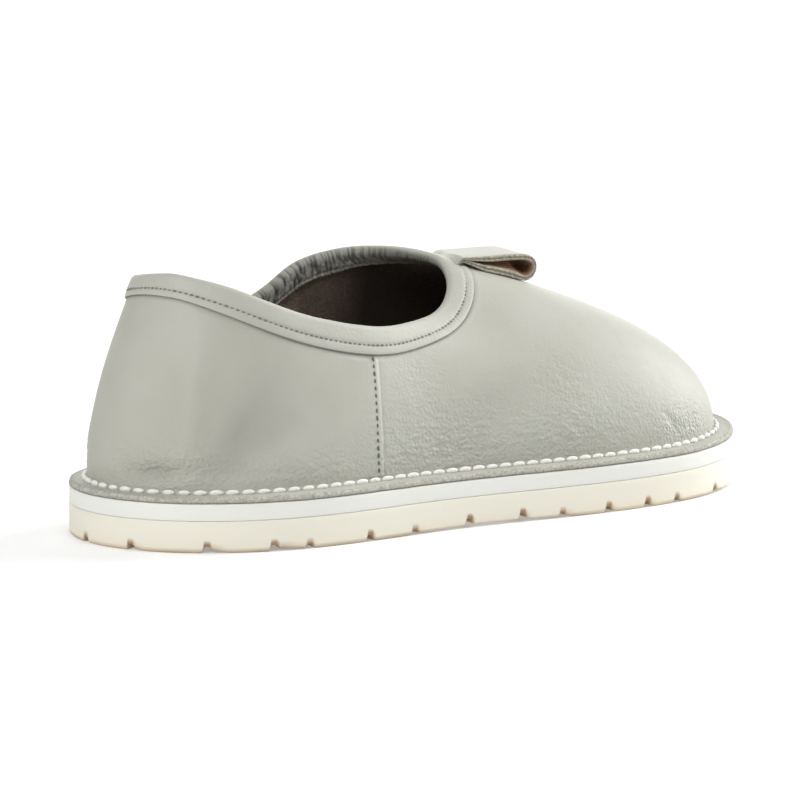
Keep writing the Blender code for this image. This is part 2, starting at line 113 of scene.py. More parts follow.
paper, _, shader = new_finish("studio_paper", (0.70, 0.70, 0.695), 0.9)
shader.inputs["Emission Color"].default_value = (1.0, 1.0, 0.99, 1.0)
shader.inputs["Emission Strength"].default_value = 0.30
floor = add_mesh("studio_floor", [(-30, -30, 0), (30, -30, 0), (30, 30, 0), (-30, 30, 0)], [(0, 1, 2, 3)], [paper])
world = bpy.data.worlds.new("studio_world")
world.use_nodes = True
world.node_tree.nodes["Background"].inputs["Color"].default_value = (1.0, 1.0, 1.0, 1.0)
world.node_tree.nodes["Background"].inputs["Strength"].default_value = 0.15
bpy.context.scene.world = world
add_light("toe_light", 88.0, 21.0, 40.0, 1.15)
add_light("heel_light", -68.0, 40.0, 32.0, 0.61)
add_light("rim_light", 150.0, 9.0, 50.0, 0.45)
add_light("top_light", 55.0, 72.0, 50.0, 0.26)


# Outsole
# One cut sheet of cream foam rubber, as wide as the flange above it. Its lower edge is notched where the cut runs
# through the sheet's lugs, and a tread of fine waves is moulded into its underside.
SOLE_LENGTH = 0.265
BALL_WIDTH = 0.1047
HEEL_WIDTH = 0.0916
HEEL_SEAT = 0.036
OUTSOLE_THICKNESS = 0.0108
TOE_SPRING = 0.0020
SPRING_START = 0.80
ARCH_LIFT = 0.0012
ARCH_FROM, ARCH_TO = 0.34, 0.66
CLEARANCE = 0.0003               # between the solids of the frame
GLUE_GAP = 0.00005               # between sheets that are glued

NOTCH_HEIGHT = 0.0021
NOTCH_HALF = 0.0009              # half the width of a notch's roof
NOTCH_FLANK = 0.0006             # how far its steep side reaches, towards the toe
NOTCH_BACK_FLANK = 2.8           # times as far, towards the heel
NOTCH_REACH = 0.027
NOTCH_FADE = 0.004
RUN_OUT_DEPTH = 0.45             # of the notch's height
RUN_OUT_STRETCH = 1.6            # times the row's ramp

WAVE_PITCH = 0.0075              # of the tread, along the sole
WAVE_SWING = 0.0016              # how far a wave snakes, and over what width
WAVE_SIDE = 0.021
WAVE_DEPTH = 0.0007

# along is a share of SOLE_LENGTH; the side is heel * HEEL_WIDTH + ball * BALL_WIDTH
Outline = namedtuple("Outline", "along heel ball")
OUTLINE = [
    Outline(0.000, 0.000, 0.000),
    Outline(0.035, -0.287, 0.000),
    Outline(0.170, -0.538, 0.000),
    Outline(0.420, -0.275, -0.240),
    Outline(0.690, 0.000, -0.510),
    Outline(0.957, 0.000, -0.270),
    Outline(1.000, 0.000, 0.070),
    Outline(0.900, 0.000, 0.385),
    Outline(0.700, 0.000, 0.490),
    Outline(0.420, 0.475, 0.000),
    Outline(0.170, 0.462, 0.000),
    Outline(0.035, 0.287, 0.000),
]
TOE_ROW = 6

# height and reach are shares of NOTCH_HEIGHT and NOTCH_REACH; ramp is how far the notch runs out towards the heel,
# in metres
Notch = namedtuple("Notch", "along height reach ramp")
NOTCHES = [
    Notch(0.020, 0.85, 0.45, 0.004),
    Notch(0.088, 1.00, 0.75, 0.006),
    Notch(0.166, 1.00, 1.00, 0.009),
    Notch(0.213, 0.70, 0.55, 0.002),
    Notch(0.303, 1.00, 1.00, 0.002),
    Notch(0.375, 0.70, 0.55, 0.003),
    Notch(0.461, 1.00, 1.00, 0.002),
    Notch(0.542, 1.00, 1.00, 0.003),
    Notch(0.603, 0.70, 0.55, 0.004),
    Notch(0.676, 1.00, 1.00, 0.003),
    Notch(0.742, 1.00, 1.00, 0.003),
    Notch(0.796, 0.80, 0.55, 0.003),
    Notch(0.881, 0.80, 0.75, 0.004),
    Notch(0.960, 0.60, 0.45, 0.002),
]
HEEL_NOTCH = Notch(0.000, 0.80, 0.45, 0.0)


def closed_spline(knots, values, period):
    """Return a function that runs a periodic cubic through the values at the knots."""
    knots = np.asarray(knots, float)
    values = np.asarray(values, float)
    count = len(knots)
    gaps = np.diff(np.append(knots, knots[0] + period))
    slopes = (np.roll(values, -1, axis=0) - values) / gaps[:, None]
    system = np.zeros((count, count))
    target = np.zeros_like(values)
    for row in range(count):
        before = (row - 1) % count
        system[row, before] += gaps[before]
        system[row, row] += 2 * (gaps[before] + gaps[row])
        system[row, (row + 1) % count] += gaps[row]
        target[row] = 6 * (slopes[row] - slopes[before])
    bends = np.linalg.solve(system, target)

    def curve(where):
        place = (np.asarray(where, float) - knots[0]) % period + knots[0]
        row = np.clip(np.searchsorted(knots, place, side="right") - 1, 0, count - 1)
        after = (row + 1) % count
        gap = gaps[row][:, None]
        ahead = (place - knots[row])[:, None] / gap
        behind = 1 - ahead
        bend = ((behind ** 3 - behind) * bends[row] + (ahead ** 3 - ahead) * bends[after]) * gap ** 2 / 6
        return behind * values[row] + ahead * values[after] + bend

    return curve


def run_along(points):
    """Distances from the first point to each point, along the line through them."""
    return np.concatenate([[0], np.cumsum(np.linalg.norm(np.diff(points, axis=0), axis=1))])


def make_outline():
    """Return a function of turn: the sole's edge, each side measured by its own arc length."""
    rows = np.array([
        (row.along * SOLE_LENGTH - HEEL_SEAT, row.heel * HEEL_WIDTH + row.ball * BALL_WIDTH) for row in OUTLINE])
    chords = np.linalg.norm(np.roll(rows, -1, axis=0) - rows, axis=1)
    knots = np.concatenate([[0], np.cumsum(chords)[:-1]])
    curve = closed_spline(knots, rows, chords.sum())
    sides = []
    for start, end, first in ((0.0, knots[TOE_ROW], 0.0), (knots[TOE_ROW], chords.sum(), 0.5)):
        places = np.linspace(start, end, 400)
        points = curve(places)
        run = run_along(points)
        sides.append((first + 0.5 * run / run[-1], places))
    turns = np.concatenate([sides[0][0], sides[1][0][1:]])
    places = np.concatenate([sides[0][1], sides[1][1][1:]])
    return lambda turn: curve(np.interp(np.asarray(turn) % 1.0, turns, places))


edge_of_sole = make_outline()


def inward(turn):
    """Unit vectors in the floor's plane, from the sole's edge to its inside."""
    along = edge_of_sole(turn + 0.0005) - edge_of_sole(turn - 0.0005)
    along /= np.linalg.norm(along, axis=1)[:, None]
    return np.column_stack([-along[:, 1], along[:, 0]])


def outline(turn, inset):
    """The sole's edge at each turn, moved in by inset."""
    turn = np.asarray(turn, float)
    return edge_of_sole(turn) + inward(turn) * np.broadcast_to(inset, turn.shape)[:, None]


def share_along(x):
    """Where x lies on the sole's length: 0 at the heel's back, 1 at the toe's tip."""
    return (np.asarray(x) + HEEL_SEAT) / SOLE_LENGTH


def toe_lift(x):
    """How far every layer rises at x, towards the toe."""
    rise = np.clip((share_along(x) - SPRING_START) / (1 - SPRING_START), 0, None)
    return TOE_SPRING * rise ** 2


def smooth_step(value, low, high):
    """0 below low and 1 above high, with a smooth rise between them."""
    share = np.clip((value - low) / (high - low), 0, 1)
    return share * share * (3 - 2 * share)


def turn_at(along, side):
    """The turn at which the sole's edge passes a share of its length, on side -1 (outer) or 1 (inner)."""
    turns = np.linspace(0.0 if side < 0 else 1.0, 0.5, 400)
    return float(np.interp(along, share_along(edge_of_sole(turns)[:, 0]), turns))


notch_places = [(0.0, HEEL_NOTCH, 1.0)] + [
    (turn_at(row.along, side), row, side) for row in NOTCHES for side in (-1.0, 1.0)]


def underside(x, y):
    """The outsole's lower face: its height, how deep the notches cut it, and how deep the tread's waves are."""
    waist = np.clip((share_along(x) - ARCH_FROM) / (ARCH_TO - ARCH_FROM), 0, 1)
    height = toe_lift(x) + ARCH_LIFT * np.sin(math.pi * waist) ** 2
    cut = np.zeros_like(x)
    for turn, row, side in notch_places:
        edge = edge_of_sole([turn])[0]
        into = inward(np.array([turn]))[0]
        away = np.column_stack([x, y]) - edge
        deep = away @ into
        across = away @ np.array([into[1], -into[0]]) * side      # positive towards the toe
        flank = np.where(across > 0, NOTCH_FLANK, NOTCH_FLANK * NOTCH_BACK_FLANK)
        shape = 1 - smooth_step(np.abs(across), NOTCH_HALF, NOTCH_HALF + flank)
        if row.ramp:
            fade = 1 - smooth_step(-across, 0.0, row.ramp * RUN_OUT_STRETCH)
            run_out = RUN_OUT_DEPTH * fade * (across < 0)
            shape = np.maximum(shape, run_out)
        reach = NOTCH_REACH * row.reach
        shape = shape * (1 - smooth_step(deep, reach - NOTCH_FADE, reach)) * (deep > -0.002)
        cut = np.maximum(cut, NOTCH_HEIGHT * row.height * shape)
    wave = np.cos(2 * math.pi * (x + WAVE_SWING * np.sin(2 * math.pi * y / WAVE_SIDE)) / WAVE_PITCH)
    return height, cut, WAVE_DEPTH * smooth_step(wave, 0.35, 0.8)


def rough_line(points, scale, layer):
    """Noise from -1 to 1 at points on the floor's plane, with scale waves to a metre."""
    return np.array([noise.noise(Vector((x * scale, y * scale, layer))) for x, y in points])


def band_faces(count, levels, closed=False):
    """The faces between stacked rings of count points. A closed pile joins its last ring to its first."""
    faces = []
    for level in range(levels if closed else levels - 1):
        base, above = level * count, (level + 1) % levels * count
        for here in range(count):
            after = (here + 1) % count
            faces.append((base + here, base + after, above + after, above + here))
    return faces


def cover_faces(base, count):
    """Strips across a ring that starts at base, from each point of one side to its match on the other."""
    faces = []
    for here in range(count // 2):
        corners = (base + here, base + here + 1, base + (count - here - 1) % count, base + (count - here) % count)
        faces.append(tuple(dict.fromkeys(corners)))
    return faces


def paint(made, **layers):
    """Store one number at each point of a mesh, under each name, for its finish to read."""
    for name, values in layers.items():
        made.data.attributes.new(name, "FLOAT", "POINT").data.foreach_set("value", np.asarray(values, float))


SOLE_STATIONS = 520              # on each side
UNDERSIDE_STRIPS = 44
EDGE_ROUND = 0.0010
TOP_ROUND = 0.0004
SIDE_UNEVEN = 0.00012            # how far the knife wandered
# The notches are painted with dark brown shade, in full where the cut is this deep.
NOTCH_SHADE_DEPTH = 0.0008              # depth of cut at which a notch shows its full brown


def build_outsole(finish):
    """Rings from the underside's rim up to the top edge, a flat cover on top, and strips across the underside."""
    count = 2 * SOLE_STATIONS
    turns = np.arange(count) / count
    rings, cuts = [], []
    for share in (0.0, 0.35, 0.7, 1.0):
        angle = share * math.pi / 2
        ring = outline(turns, EDGE_ROUND * (1 - math.sin(angle)))
        height, cut, _ = underside(ring[:, 0], ring[:, 1])
        rings.append(np.column_stack([ring, height + cut + EDGE_ROUND * (1 - math.cos(angle))]))
        cuts.append(cut * (1 - 0.6 * share))
    side = outline(turns, 0.0)
    low = rings[-1][:, 2]
    high = toe_lift(side[:, 0]) + OUTSOLE_THICKNESS
    uneven = rough_line(side, 45, 1.0) * SIDE_UNEVEN
    for share in (0.2, 0.4, 0.6, 0.8):
        ring = outline(turns, uneven * math.sin(share * math.pi))
        rings.append(np.column_stack([ring, low + (high - TOP_ROUND - low) * share]))
    for share in (0.0, 0.5, 1.0):
        angle = share * math.pi / 2
        ring = outline(turns, TOP_ROUND * (1 - math.cos(angle)))
        rings.append(np.column_stack([ring, high - TOP_ROUND * (1 - math.sin(angle))]))
    points = [tuple(point) for ring in rings for point in ring]
    faces = band_faces(count, len(rings)) + cover_faces((len(rings) - 1) * count, count)
    strips = [[0]]
    inner_xy, inner_shares = [], []
    for here in range(1, SOLE_STATIONS):
        start, end = rings[0][here], rings[0][count - here]
        row = [here]
        for step in range(1, UNDERSIDE_STRIPS):
            share = step / UNDERSIDE_STRIPS
            row.append(len(points) + len(inner_xy))
            inner_shares.append(share)
            inner_xy.append(start[:2] * (1 - share) + end[:2] * share)
        row.append(count - here)
        strips.append(row)
    strips.append([SOLE_STATIONS])
    inner_xy = np.array(inner_xy)
    height, cut, wave = underside(inner_xy[:, 0], inner_xy[:, 1])
    from_edge = np.minimum(np.array(inner_shares), 1 - np.array(inner_shares))
    wave = wave * smooth_step(from_edge, 0.06, 0.12)
    points += [(x, y, z) for (x, y), z in zip(inner_xy, np.maximum(height + cut, height + wave))]
    cuts += [np.zeros(count * (len(rings) - 4)), cut]
    for before, after in zip(strips, strips[1:]):
        if len(before) == 1:
            faces += [(before[0], after[step + 1], after[step]) for step in range(UNDERSIDE_STRIPS)]
        elif len(after) == 1:
            faces += [(before[step], before[step + 1], after[0]) for step in range(UNDERSIDE_STRIPS)]
        else:
            faces += [(before[step], before[step + 1], after[step + 1], after[step])
                      for step in range(UNDERSIDE_STRIPS)]
    made = add_mesh("outsole_sheet", points, faces, [finish])
    paint(made, cut=np.clip(np.concatenate(cuts) / NOTCH_SHADE_DEPTH, 0, 1))
    return made


def add(tree, kind, sockets=None, **settings):
    """Add a node to a tree. A value in sockets is linked if it is a socket, and set if it is anything else."""
    made = tree.nodes.new(kind)
    for key, value in settings.items():
        setattr(made, key, value)
    for key, value in (sockets or {}).items():
        if isinstance(value, bpy.types.NodeSocket):
            tree.links.new(value, made.inputs[key])
        else:
            made.inputs[key].default_value = value
    return made


def combined(nodes, operation, first, second):
    """Two numbers, or sockets, worked into one."""
    return add(nodes, "ShaderNodeMath", {0: first, 1: second}, operation=operation).outputs["Value"]


def ranged(nodes, value, start, end, low=0.0, high=1.0):
    """How far a value has come from start to end, as a number from low to high."""
    return add(nodes, "ShaderNodeMapRange", {
        "Value": value, "From Min": start, "From Max": end, "To Min": low, "To Max": high},
        clamp=True).outputs["Result"]


def mixed(nodes, factor, first, second):
    """The colour that lies at factor between two, each of them a colour or a socket."""
    first, second = (value if isinstance(value, bpy.types.NodeSocket) else (*value, 1.0)
                     for value in (first, second))
    return add(nodes, "ShaderNodeMix", {"Factor": factor, "A": first, "B": second},
               data_type="RGBA").outputs["Result"]


def clouds(nodes, spot, scale, detail, roughness=0.5):
    """Noise round a half, with scale waves to a metre."""
    return add(nodes, "ShaderNodeTexNoise", {
        "Vector": spot, "Scale": scale, "Detail": detail, "Roughness": roughness}).outputs["Fac"]


def add_bump(nodes, surface, height, strength, distance):
    """Give a surface the relief of a height, distance metres deep."""
    bump = add(nodes, "ShaderNodeBump", {"Height": height, "Strength": strength, "Distance": distance})
    nodes.links.new(bump.outputs["Normal"], surface.inputs["Normal"])


cream, nodes, surface = new_finish("cream_rubber_finish", (0.78, 0.71, 0.60), 0.62, 0.35)
spot = add(nodes, "ShaderNodeTexCoord").outputs["Object"]
above_floor = add(nodes, "ShaderNodeSeparateXYZ", {"Vector": spot}).outputs["Z"]
# Painted shade in the notches, read from the cut layer.
notch_shade = add(nodes, "ShaderNodeAttribute", attribute_name="cut").outputs["Fac"]
patches = clouds(nodes, spot, 22.0, 3.0)
tint = mixed(nodes, ranged(nodes, above_floor, 0.0, 0.006), (0.78, 0.69, 0.53), (0.79, 0.76, 0.66))
warm = mixed(nodes, patches, tint, (0.79, 0.775, 0.68))
# Painted contact shade: the lowest 1.8 mm of the sheet turns a patchy dark brown towards the floor.
painted_shade_amount = combined(nodes, "MULTIPLY", ranged(nodes, above_floor, 0.0018, 0.0, 0.0, 1.7), patches)
contact_shaded = mixed(nodes, painted_shade_amount, warm, (0.33, 0.21, 0.11))
nodes.links.new(mixed(nodes, notch_shade, contact_shaded, (0.34, 0.22, 0.12)), surface.inputs["Base Color"])
add_bump(nodes, surface, clouds(nodes, spot, 1400.0, 2.0), 0.25, 0.0002)

outsole = build_outsole(cream)
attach(outsole, "root")
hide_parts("outsole")


# Midsole
# A thin sheet of white foam, glued on the outsole and cut flush with it. Its edges are a little rounded, so a fine
# line shows where the two sheets meet.
MIDSOLE_THICKNESS = 0.0055
MIDSOLE_ROUND = 0.0004
MIDSOLE_BOTTOM = OUTSOLE_THICKNESS + GLUE_GAP
MIDSOLE_TOP = OUTSOLE_THICKNESS + CLEARANCE + MIDSOLE_THICKNESS


def stack_rings(name, rings, finishes):
    """Close a pile of rings round the sole with a cover of strips below and above."""
    count = len(rings[0])
    faces = band_faces(count, len(rings)) + [face[::-1] for face in cover_faces(0, count)]
    faces += cover_faces((len(rings) - 1) * count, count)
    return add_mesh(name, np.concatenate(rings), faces, finishes)


def rounded_sheet(turns, inset, bottom, top, radius, uneven):
    """Rings of a sheet with rounded edges, from its lower face to its upper one."""
    rings = []
    for share in (0.0, 0.5, 1.0):
        angle = share * math.pi / 2
        ring = outline(turns, inset + radius * (1 - math.sin(angle)))
        rings.append(np.column_stack([ring, toe_lift(ring[:, 0]) + bottom + radius * (1 - math.cos(angle))]))
    for share in (0.25, 0.5, 0.75):
        ring = outline(turns, inset + uneven)
        rings.append(np.column_stack([
            ring, toe_lift(ring[:, 0]) + bottom + radius + (top - bottom - 2 * radius) * share]))
    for share in (0.0, 0.5, 1.0):
        angle = share * math.pi / 2
        ring = outline(turns, inset + radius * (1 - math.cos(angle)))
        rings.append(np.column_stack([ring, toe_lift(ring[:, 0]) + top - radius * (1 - math.sin(angle))]))
    return rings


foam, nodes, surface = new_finish("white_foam_finish", (0.82, 0.82, 0.78), 0.55)
spot = add(nodes, "ShaderNodeTexCoord").outputs["Object"]
tint = mixed(nodes, clouds(nodes, spot, 30.0, 2.0), (0.75, 0.755, 0.70), (0.80, 0.81, 0.775))
nodes.links.new(tint, surface.inputs["Base Color"])
add_bump(nodes, surface, clouds(nodes, spot, 1700.0, 2.0), 0.2, 0.0002)

round_the_sole = np.arange(720) / 720
foam_edge = edge_of_sole(round_the_sole)
foam_uneven = rough_line(foam_edge, 60, 7.0) * 0.00015
midsole = stack_rings("midsole_sheet", rounded_sheet(
    round_the_sole, 0.0, MIDSOLE_BOTTOM, MIDSOLE_TOP, MIDSOLE_ROUND, foam_uneven), [foam])
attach(midsole, "root")
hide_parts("midsole")


# Insole
# A suede-covered board that lies inside the turned-out flange.
WALL = 0.0019
FLANGE_WIDTH = 0.0075
FLANGE_FILLET = 0.0018
FLANGE_BOTTOM = MIDSOLE_TOP + GLUE_GAP
FLANGE_TOP = MIDSOLE_TOP + CLEARANCE + WALL
INSOLE_THICKNESS = 0.0030
COLLAR_HEIGHT = 0.0885

# turn goes once round: 0 at the back of the heel, 0.5 at the toe. flange and band are shares of FLANGE_WIDTH and
# BINDING_DEPTH. The collar's edge lies at along * SOLE_LENGTH, side * HEEL_WIDTH and height * COLLAR_HEIGHT. lean
# and rise place the curve's lower handle, reach and drop the upper one.
Rib = namedtuple("Rib", "turn flange along side height band lean rise reach drop")
RIBS = [
    Rib(0.000, 0.82, 0.096, 0.000, 0.990, 0.66, 0.02, 0.36, 0.45, 0.30),
    Rib(0.040, 0.86, 0.101, -0.110, 1.000, 0.70, 0.02, 0.36, 0.45, 0.30),
    Rib(0.070, 0.92, 0.115, -0.190, 0.992, 0.78, 0.02, 0.36, 0.45, 0.30),
    Rib(0.100, 0.96, 0.160, -0.290, 0.948, 0.98, 0.03, 0.35, 0.45, 0.30),
    Rib(0.140, 1.00, 0.245, -0.353, 0.846, 1.00, 0.00, 0.35, 0.45, 0.30),
    Rib(0.180, 1.00, 0.356, -0.345, 0.767, 0.94, -0.06, 0.36, 0.45, 0.30),
    Rib(0.220, 0.95, 0.428, -0.295, 0.760, 0.90, -0.02, 0.40, 0.45, 0.26),
    Rib(0.260, 0.90, 0.482, -0.232, 0.777, 0.88, 0.01, 0.45, 0.46, 0.24),
    Rib(0.300, 0.85, 0.520, -0.162, 0.815, 0.86, 0.01, 0.47, 0.48, 0.24),
    Rib(0.350, 0.82, 0.546, -0.088, 0.875, 0.86, 0.00, 0.48, 0.51, 0.26),
    Rib(0.400, 0.86, 0.557, -0.025, 0.927, 0.90, -0.01, 0.48, 0.54, 0.28),
    Rib(0.450, 0.96, 0.561, 0.032, 0.957, 0.94, -0.02, 0.48, 0.54, 0.28),
    Rib(0.500, 1.00, 0.561, 0.081, 0.971, 0.98, -0.02, 0.48, 0.54, 0.28),
    Rib(0.550, 0.98, 0.554, 0.136, 0.980, 1.00, -0.01, 0.48, 0.52, 0.27),
    Rib(0.600, 0.92, 0.539, 0.200, 0.989, 1.00, 0.01, 0.48, 0.50, 0.26),
    Rib(0.650, 0.90, 0.514, 0.260, 0.993, 1.00, 0.02, 0.47, 0.48, 0.25),
    Rib(0.700, 0.90, 0.475, 0.306, 0.989, 1.00, 0.03, 0.44, 0.46, 0.25),
    Rib(0.745, 0.90, 0.433, 0.335, 0.968, 1.00, 0.03, 0.41, 0.45, 0.28),
    Rib(0.775, 0.95, 0.390, 0.350, 0.928, 1.00, 0.02, 0.40, 0.45, 0.30),
    Rib(0.805, 1.00, 0.345, 0.350, 0.845, 1.00, 0.00, 0.38, 0.45, 0.30),
    Rib(0.835, 1.00, 0.290, 0.345, 0.790, 1.00, 0.00, 0.36, 0.45, 0.30),
    Rib(0.870, 1.00, 0.220, 0.325, 0.822, 1.00, 0.02, 0.35, 0.45, 0.30),
    Rib(0.910, 0.93, 0.148, 0.262, 0.915, 0.88, 0.03, 0.35, 0.45, 0.30),
    Rib(0.940, 0.86, 0.110, 0.183, 0.958, 0.78, 0.03, 0.36, 0.45, 0.30),
    Rib(0.970, 0.82, 0.097, 0.092, 0.976, 0.68, 0.02, 0.36, 0.45, 0.30),
]
rib_rows = closed_spline([row.turn for row in RIBS], [row[1:] for row in RIBS], 1.0)


def flange_width(turn):
    return rib_rows(turn)[:, 0] * FLANGE_WIDTH


def suede_finish(name, dark, light, strength, forward_shade):
    """Napped suede: flecked colour, no gloss, a soft sheen of raised fibres, and painted shade that darkens it
    towards the toe.
    """
    made, nodes, surface = new_finish(name, light, 0.95, 0.15)
    surface.inputs["Sheen Weight"].default_value = 0.35
    surface.inputs["Sheen Roughness"].default_value = 0.6
    surface.inputs["Sheen Tint"].default_value = (0.75, 0.62, 0.52, 1.0)
    spot = add(nodes, "ShaderNodeTexCoord").outputs["Object"]
    forward = add(nodes, "ShaderNodeSeparateXYZ", {"Vector": spot}).outputs["X"]
    nap = clouds(nodes, spot, 1100.0, 3.0, 0.7)
    brushed = combined(nodes, "MULTIPLY", clouds(nodes, spot, 60.0, 4.0), nap)
    flecked = mixed(nodes, ranged(nodes, brushed, 0.12, 0.40), dark, light)
    # Painted shade: the colour darkens to near black from x 0.048 to 0.098, towards the toe.
    shaded_forward = mixed(nodes, ranged(nodes, forward, 0.048, 0.098, 0.0, forward_shade), flecked, (0.008, 0.006, 0.005))
    nodes.links.new(shaded_forward, surface.inputs["Base Color"])
    add_bump(nodes, surface, nap, strength, 0.0006)
    return made


# The footbed and the lining carry painted shade towards the toe.
brown_suede = suede_finish("brown_suede_finish", (0.20, 0.145, 0.11), (0.62, 0.49, 0.385), 0.8, 0.98)
insole_turns = np.arange(240) / 240
insole_inset = flange_width(insole_turns) + WALL + 2 * CLEARANCE
insole = stack_rings("footbed", rounded_sheet(
    insole_turns, insole_inset, FLANGE_BOTTOM + CLEARANCE, FLANGE_BOTTOM + INSOLE_THICKNESS, 0.0006, 0.0),
    [brown_suede])
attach(insole, "root")
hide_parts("insole")


# Upper
# Vamp and quarter of pale grey leather, sewn together at the sides and turned out at the bottom into a flange. The
# quarter's cut edge laps over the vamp. Wear has left soft troughs and ridges at the heel and a crease at the toe.
LAP_STEP = 0.0008
LAP_LENGTH = 0.012
SEAM_ALONG = 0.345
BINDING_DEPTH = 0.0086
SEAM_STITCH_BACK = 0.0019        # behind the quarter's edge
SOLE_GIRTH = float(np.linalg.norm(np.diff(edge_of_sole(np.linspace(0, 1, 400)), axis=0), axis=1).sum())

UPPER_STATIONS = 552
WALL_LEVELS = 112
INNER_LEVELS = 24
SEAM_PAIR = 0.00012              # turns on either side of a seam, where the step stands
THROAT = 0.45                    # the turn at the front of the collar
WRINKLE_DEPTH = 0.00052
UNEVEN_DEPTH = 0.00022
SEAM_GROOVE = 0.00028            # how deep the seams' thread pulls the leather in
SEAM_GROOVE_HALF = 0.0007

# The flange's cut edge from below, with a soft upper corner: share of the thickness, how far in, and how much
# painted shade, most where it meets the midsole
FLANGE_EDGE = ((0.0, 0.0005, 0.7), (0.15, 0.0001, 0.45), (0.35, -0.00005, 0.1), (0.6, 0.00008, 0.0),
               (0.82, 0.00035, 0.0), (0.96, 0.0008, 0.0))

# Troughs (negative depth) and ridges on the wall, in metres. angle is 0 for a fold that runs round the shoe and 90
# for one that runs up the wall.
Fold = namedtuple("Fold", "turn height length width angle depth")
FOLDS = [
    Fold(0.067, 0.40, 0.028, 0.0070, 86.0, 0.0024),      # ridge of the heel counter
    Fold(0.099, 0.26, 0.018, 0.0085, 64.0, -0.0032),     # trough in front of it
    Fold(0.118, 0.28, 0.013, 0.0050, 40.0, -0.0010),
    Fold(0.044, 0.06, 0.015, 0.0040, 6.0, -0.0024),      # pocket low on the heel
    Fold(0.020, 0.14, 0.010, 0.0045, -10.0, -0.0008),
    Fold(0.000, 0.12, 0.022, 0.0080, 0.0, 0.0014),       # fullness low at the back of the heel
    Fold(0.160, 0.45, 0.020, 0.0100, 60.0, 0.0010),
    Fold(0.245, 0.30, 0.022, 0.0090, 20.0, -0.0011),
    Fold(0.300, 0.22, 0.020, 0.0080, 8.0, 0.0008),
    Fold(0.374, 0.08, 0.0055, 0.0010, 128.0, -0.0005),   # crease at the toe
    Fold(0.384, 0.05, 0.0060, 0.0012, 20.0, -0.0003),
    Fold(0.640, 0.30, 0.020, 0.0080, 10.0, -0.0010),
    Fold(0.700, 0.32, 0.018, 0.0080, 60.0, 0.0010),
    Fold(0.870, 0.35, 0.018, 0.0080, 70.0, -0.0020),
    Fold(0.915, 0.38, 0.024, 0.0070, 94.0, 0.0015),
    Fold(0.950, 0.12, 0.011, 0.0040, -8.0, -0.0015),
]

# Where the leather is finely wrinkled: centre, length round the shoe and up the wall, and how much
Wrinkled = namedtuple("Wrinkled", "turn height around up amount")
WRINKLED = [
    Wrinkled(0.230, 0.10, 0.034, 0.014, 1.0),
    Wrinkled(0.290, 0.10, 0.034, 0.012, 0.9),
    Wrinkled(0.305, 0.33, 0.014, 0.012, 0.4),
    Wrinkled(0.212, 0.28, 0.012, 0.020, 0.45),
    Wrinkled(0.385, 0.06, 0.020, 0.008, 0.8),
    Wrinkled(0.045, 0.08, 0.024, 0.009, 0.9),
    Wrinkled(0.130, 0.06, 0.030, 0.008, 0.6),
    Wrinkled(0.700, 0.12, 0.060, 0.014, 0.8),
    Wrinkled(0.600, 0.12, 0.030, 0.014, 0.9),
    Wrinkled(0.950, 0.08, 0.024, 0.009, 0.6),
]


def wall(turn, height):
    """The upper's outer face: height 0 at the top of the flange's fillet, 1 at the collar's edge."""
    turn = np.asarray(turn, float)
    height = np.asarray(height, float)
    _, along, side, tall, _, lean, rise, reach, drop = rib_rows(turn).T
    foot = outline(turn, flange_width(turn))
    collar = np.column_stack([
        along * SOLE_LENGTH - HEEL_SEAT, side * HEEL_WIDTH, tall * COLLAR_HEIGHT])
    foot = np.column_stack([foot, FLANGE_TOP + toe_lift(foot[:, 0]) + FLANGE_FILLET])
    span = collar - foot
    run = np.linalg.norm(span[:, :2], axis=1)
    lower = foot.copy()
    lower[:, :2] -= inward(turn) * (lean * run)[:, None]
    lower[:, 2] += rise * span[:, 2]
    upper = collar.copy()
    upper[:, :2] -= span[:, :2] * reach[:, None]
    upper[:, 2] -= drop * span[:, 2]
    t = height[:, None]
    return foot * (1 - t) ** 3 + 3 * lower * t * (1 - t) ** 2 + 3 * upper * t ** 2 * (1 - t) + collar * t ** 3


def wall_frame(turn, height):
    """Unit vectors round the wall, up it and out of it."""
    step = 0.0015
    up = wall(turn, np.clip(height + step, 0, 1)) - wall(turn, np.clip(height - step, 0, 1))
    around = wall(turn + step, height) - wall(turn - step, height)
    around /= np.linalg.norm(around, axis=1)[:, None]
    out = np.cross(around, up)
    out /= np.linalg.norm(out, axis=1)[:, None]
    return around, np.cross(out, around), out


def binding_depth(turn):
    """How wide the binding shows, down from the collar's edge."""
    return rib_rows(turn)[:, 4] * BINDING_DEPTH


def below_collar(turn):
    """Return a function: the wall's heights at a distance down from the collar's edge, at these turns."""
    levels = np.linspace(0, 1, 60)
    spots = np.stack([wall(turn, np.full(len(turn), level)) for level in levels])
    steps = np.linalg.norm(np.diff(spots, axis=0), axis=2)
    run = np.concatenate([np.zeros((1, len(turn))), np.cumsum(steps[::-1], axis=0)])

    def height(distance):
        asked = np.broadcast_to(distance, len(turn))
        return np.array([np.interp(asked[here], run[:, here], levels[::-1]) for here in range(len(turn))])

    return height


outer_seam, inner_seam = turn_at(SEAM_ALONG, -1), turn_at(SEAM_ALONG, 1)


def behind_seam(turn):
    """How far a turn lies behind the nearer side seam, in metres along the sole's edge."""
    return np.where(turn < 0.5, outer_seam - turn, turn - inner_seam) * SOLE_GIRTH


def placed(rows):
    """Each row with the wall's point at its centre, and the directions round, up and out of the wall there."""
    turn, height = np.array([[row.turn, row.height] for row in rows]).T
    return list(zip(rows, wall(turn, height), *wall_frame(turn, height)))


placed_folds = placed(FOLDS)
placed_wrinkles = placed(WRINKLED)


def wrinkling(points):
    """How finely wrinkled the leather is at each point, from 0 to 1."""
    amount = np.zeros(len(points))
    for row, centre, around, up, out in placed_wrinkles:
        away = points - centre
        reach = ((away @ around) ** 2 + (away @ out) ** 2) / row.around ** 2 + (away @ up / row.up) ** 2
        amount = np.maximum(amount, row.amount * np.exp(-reach))
    return amount


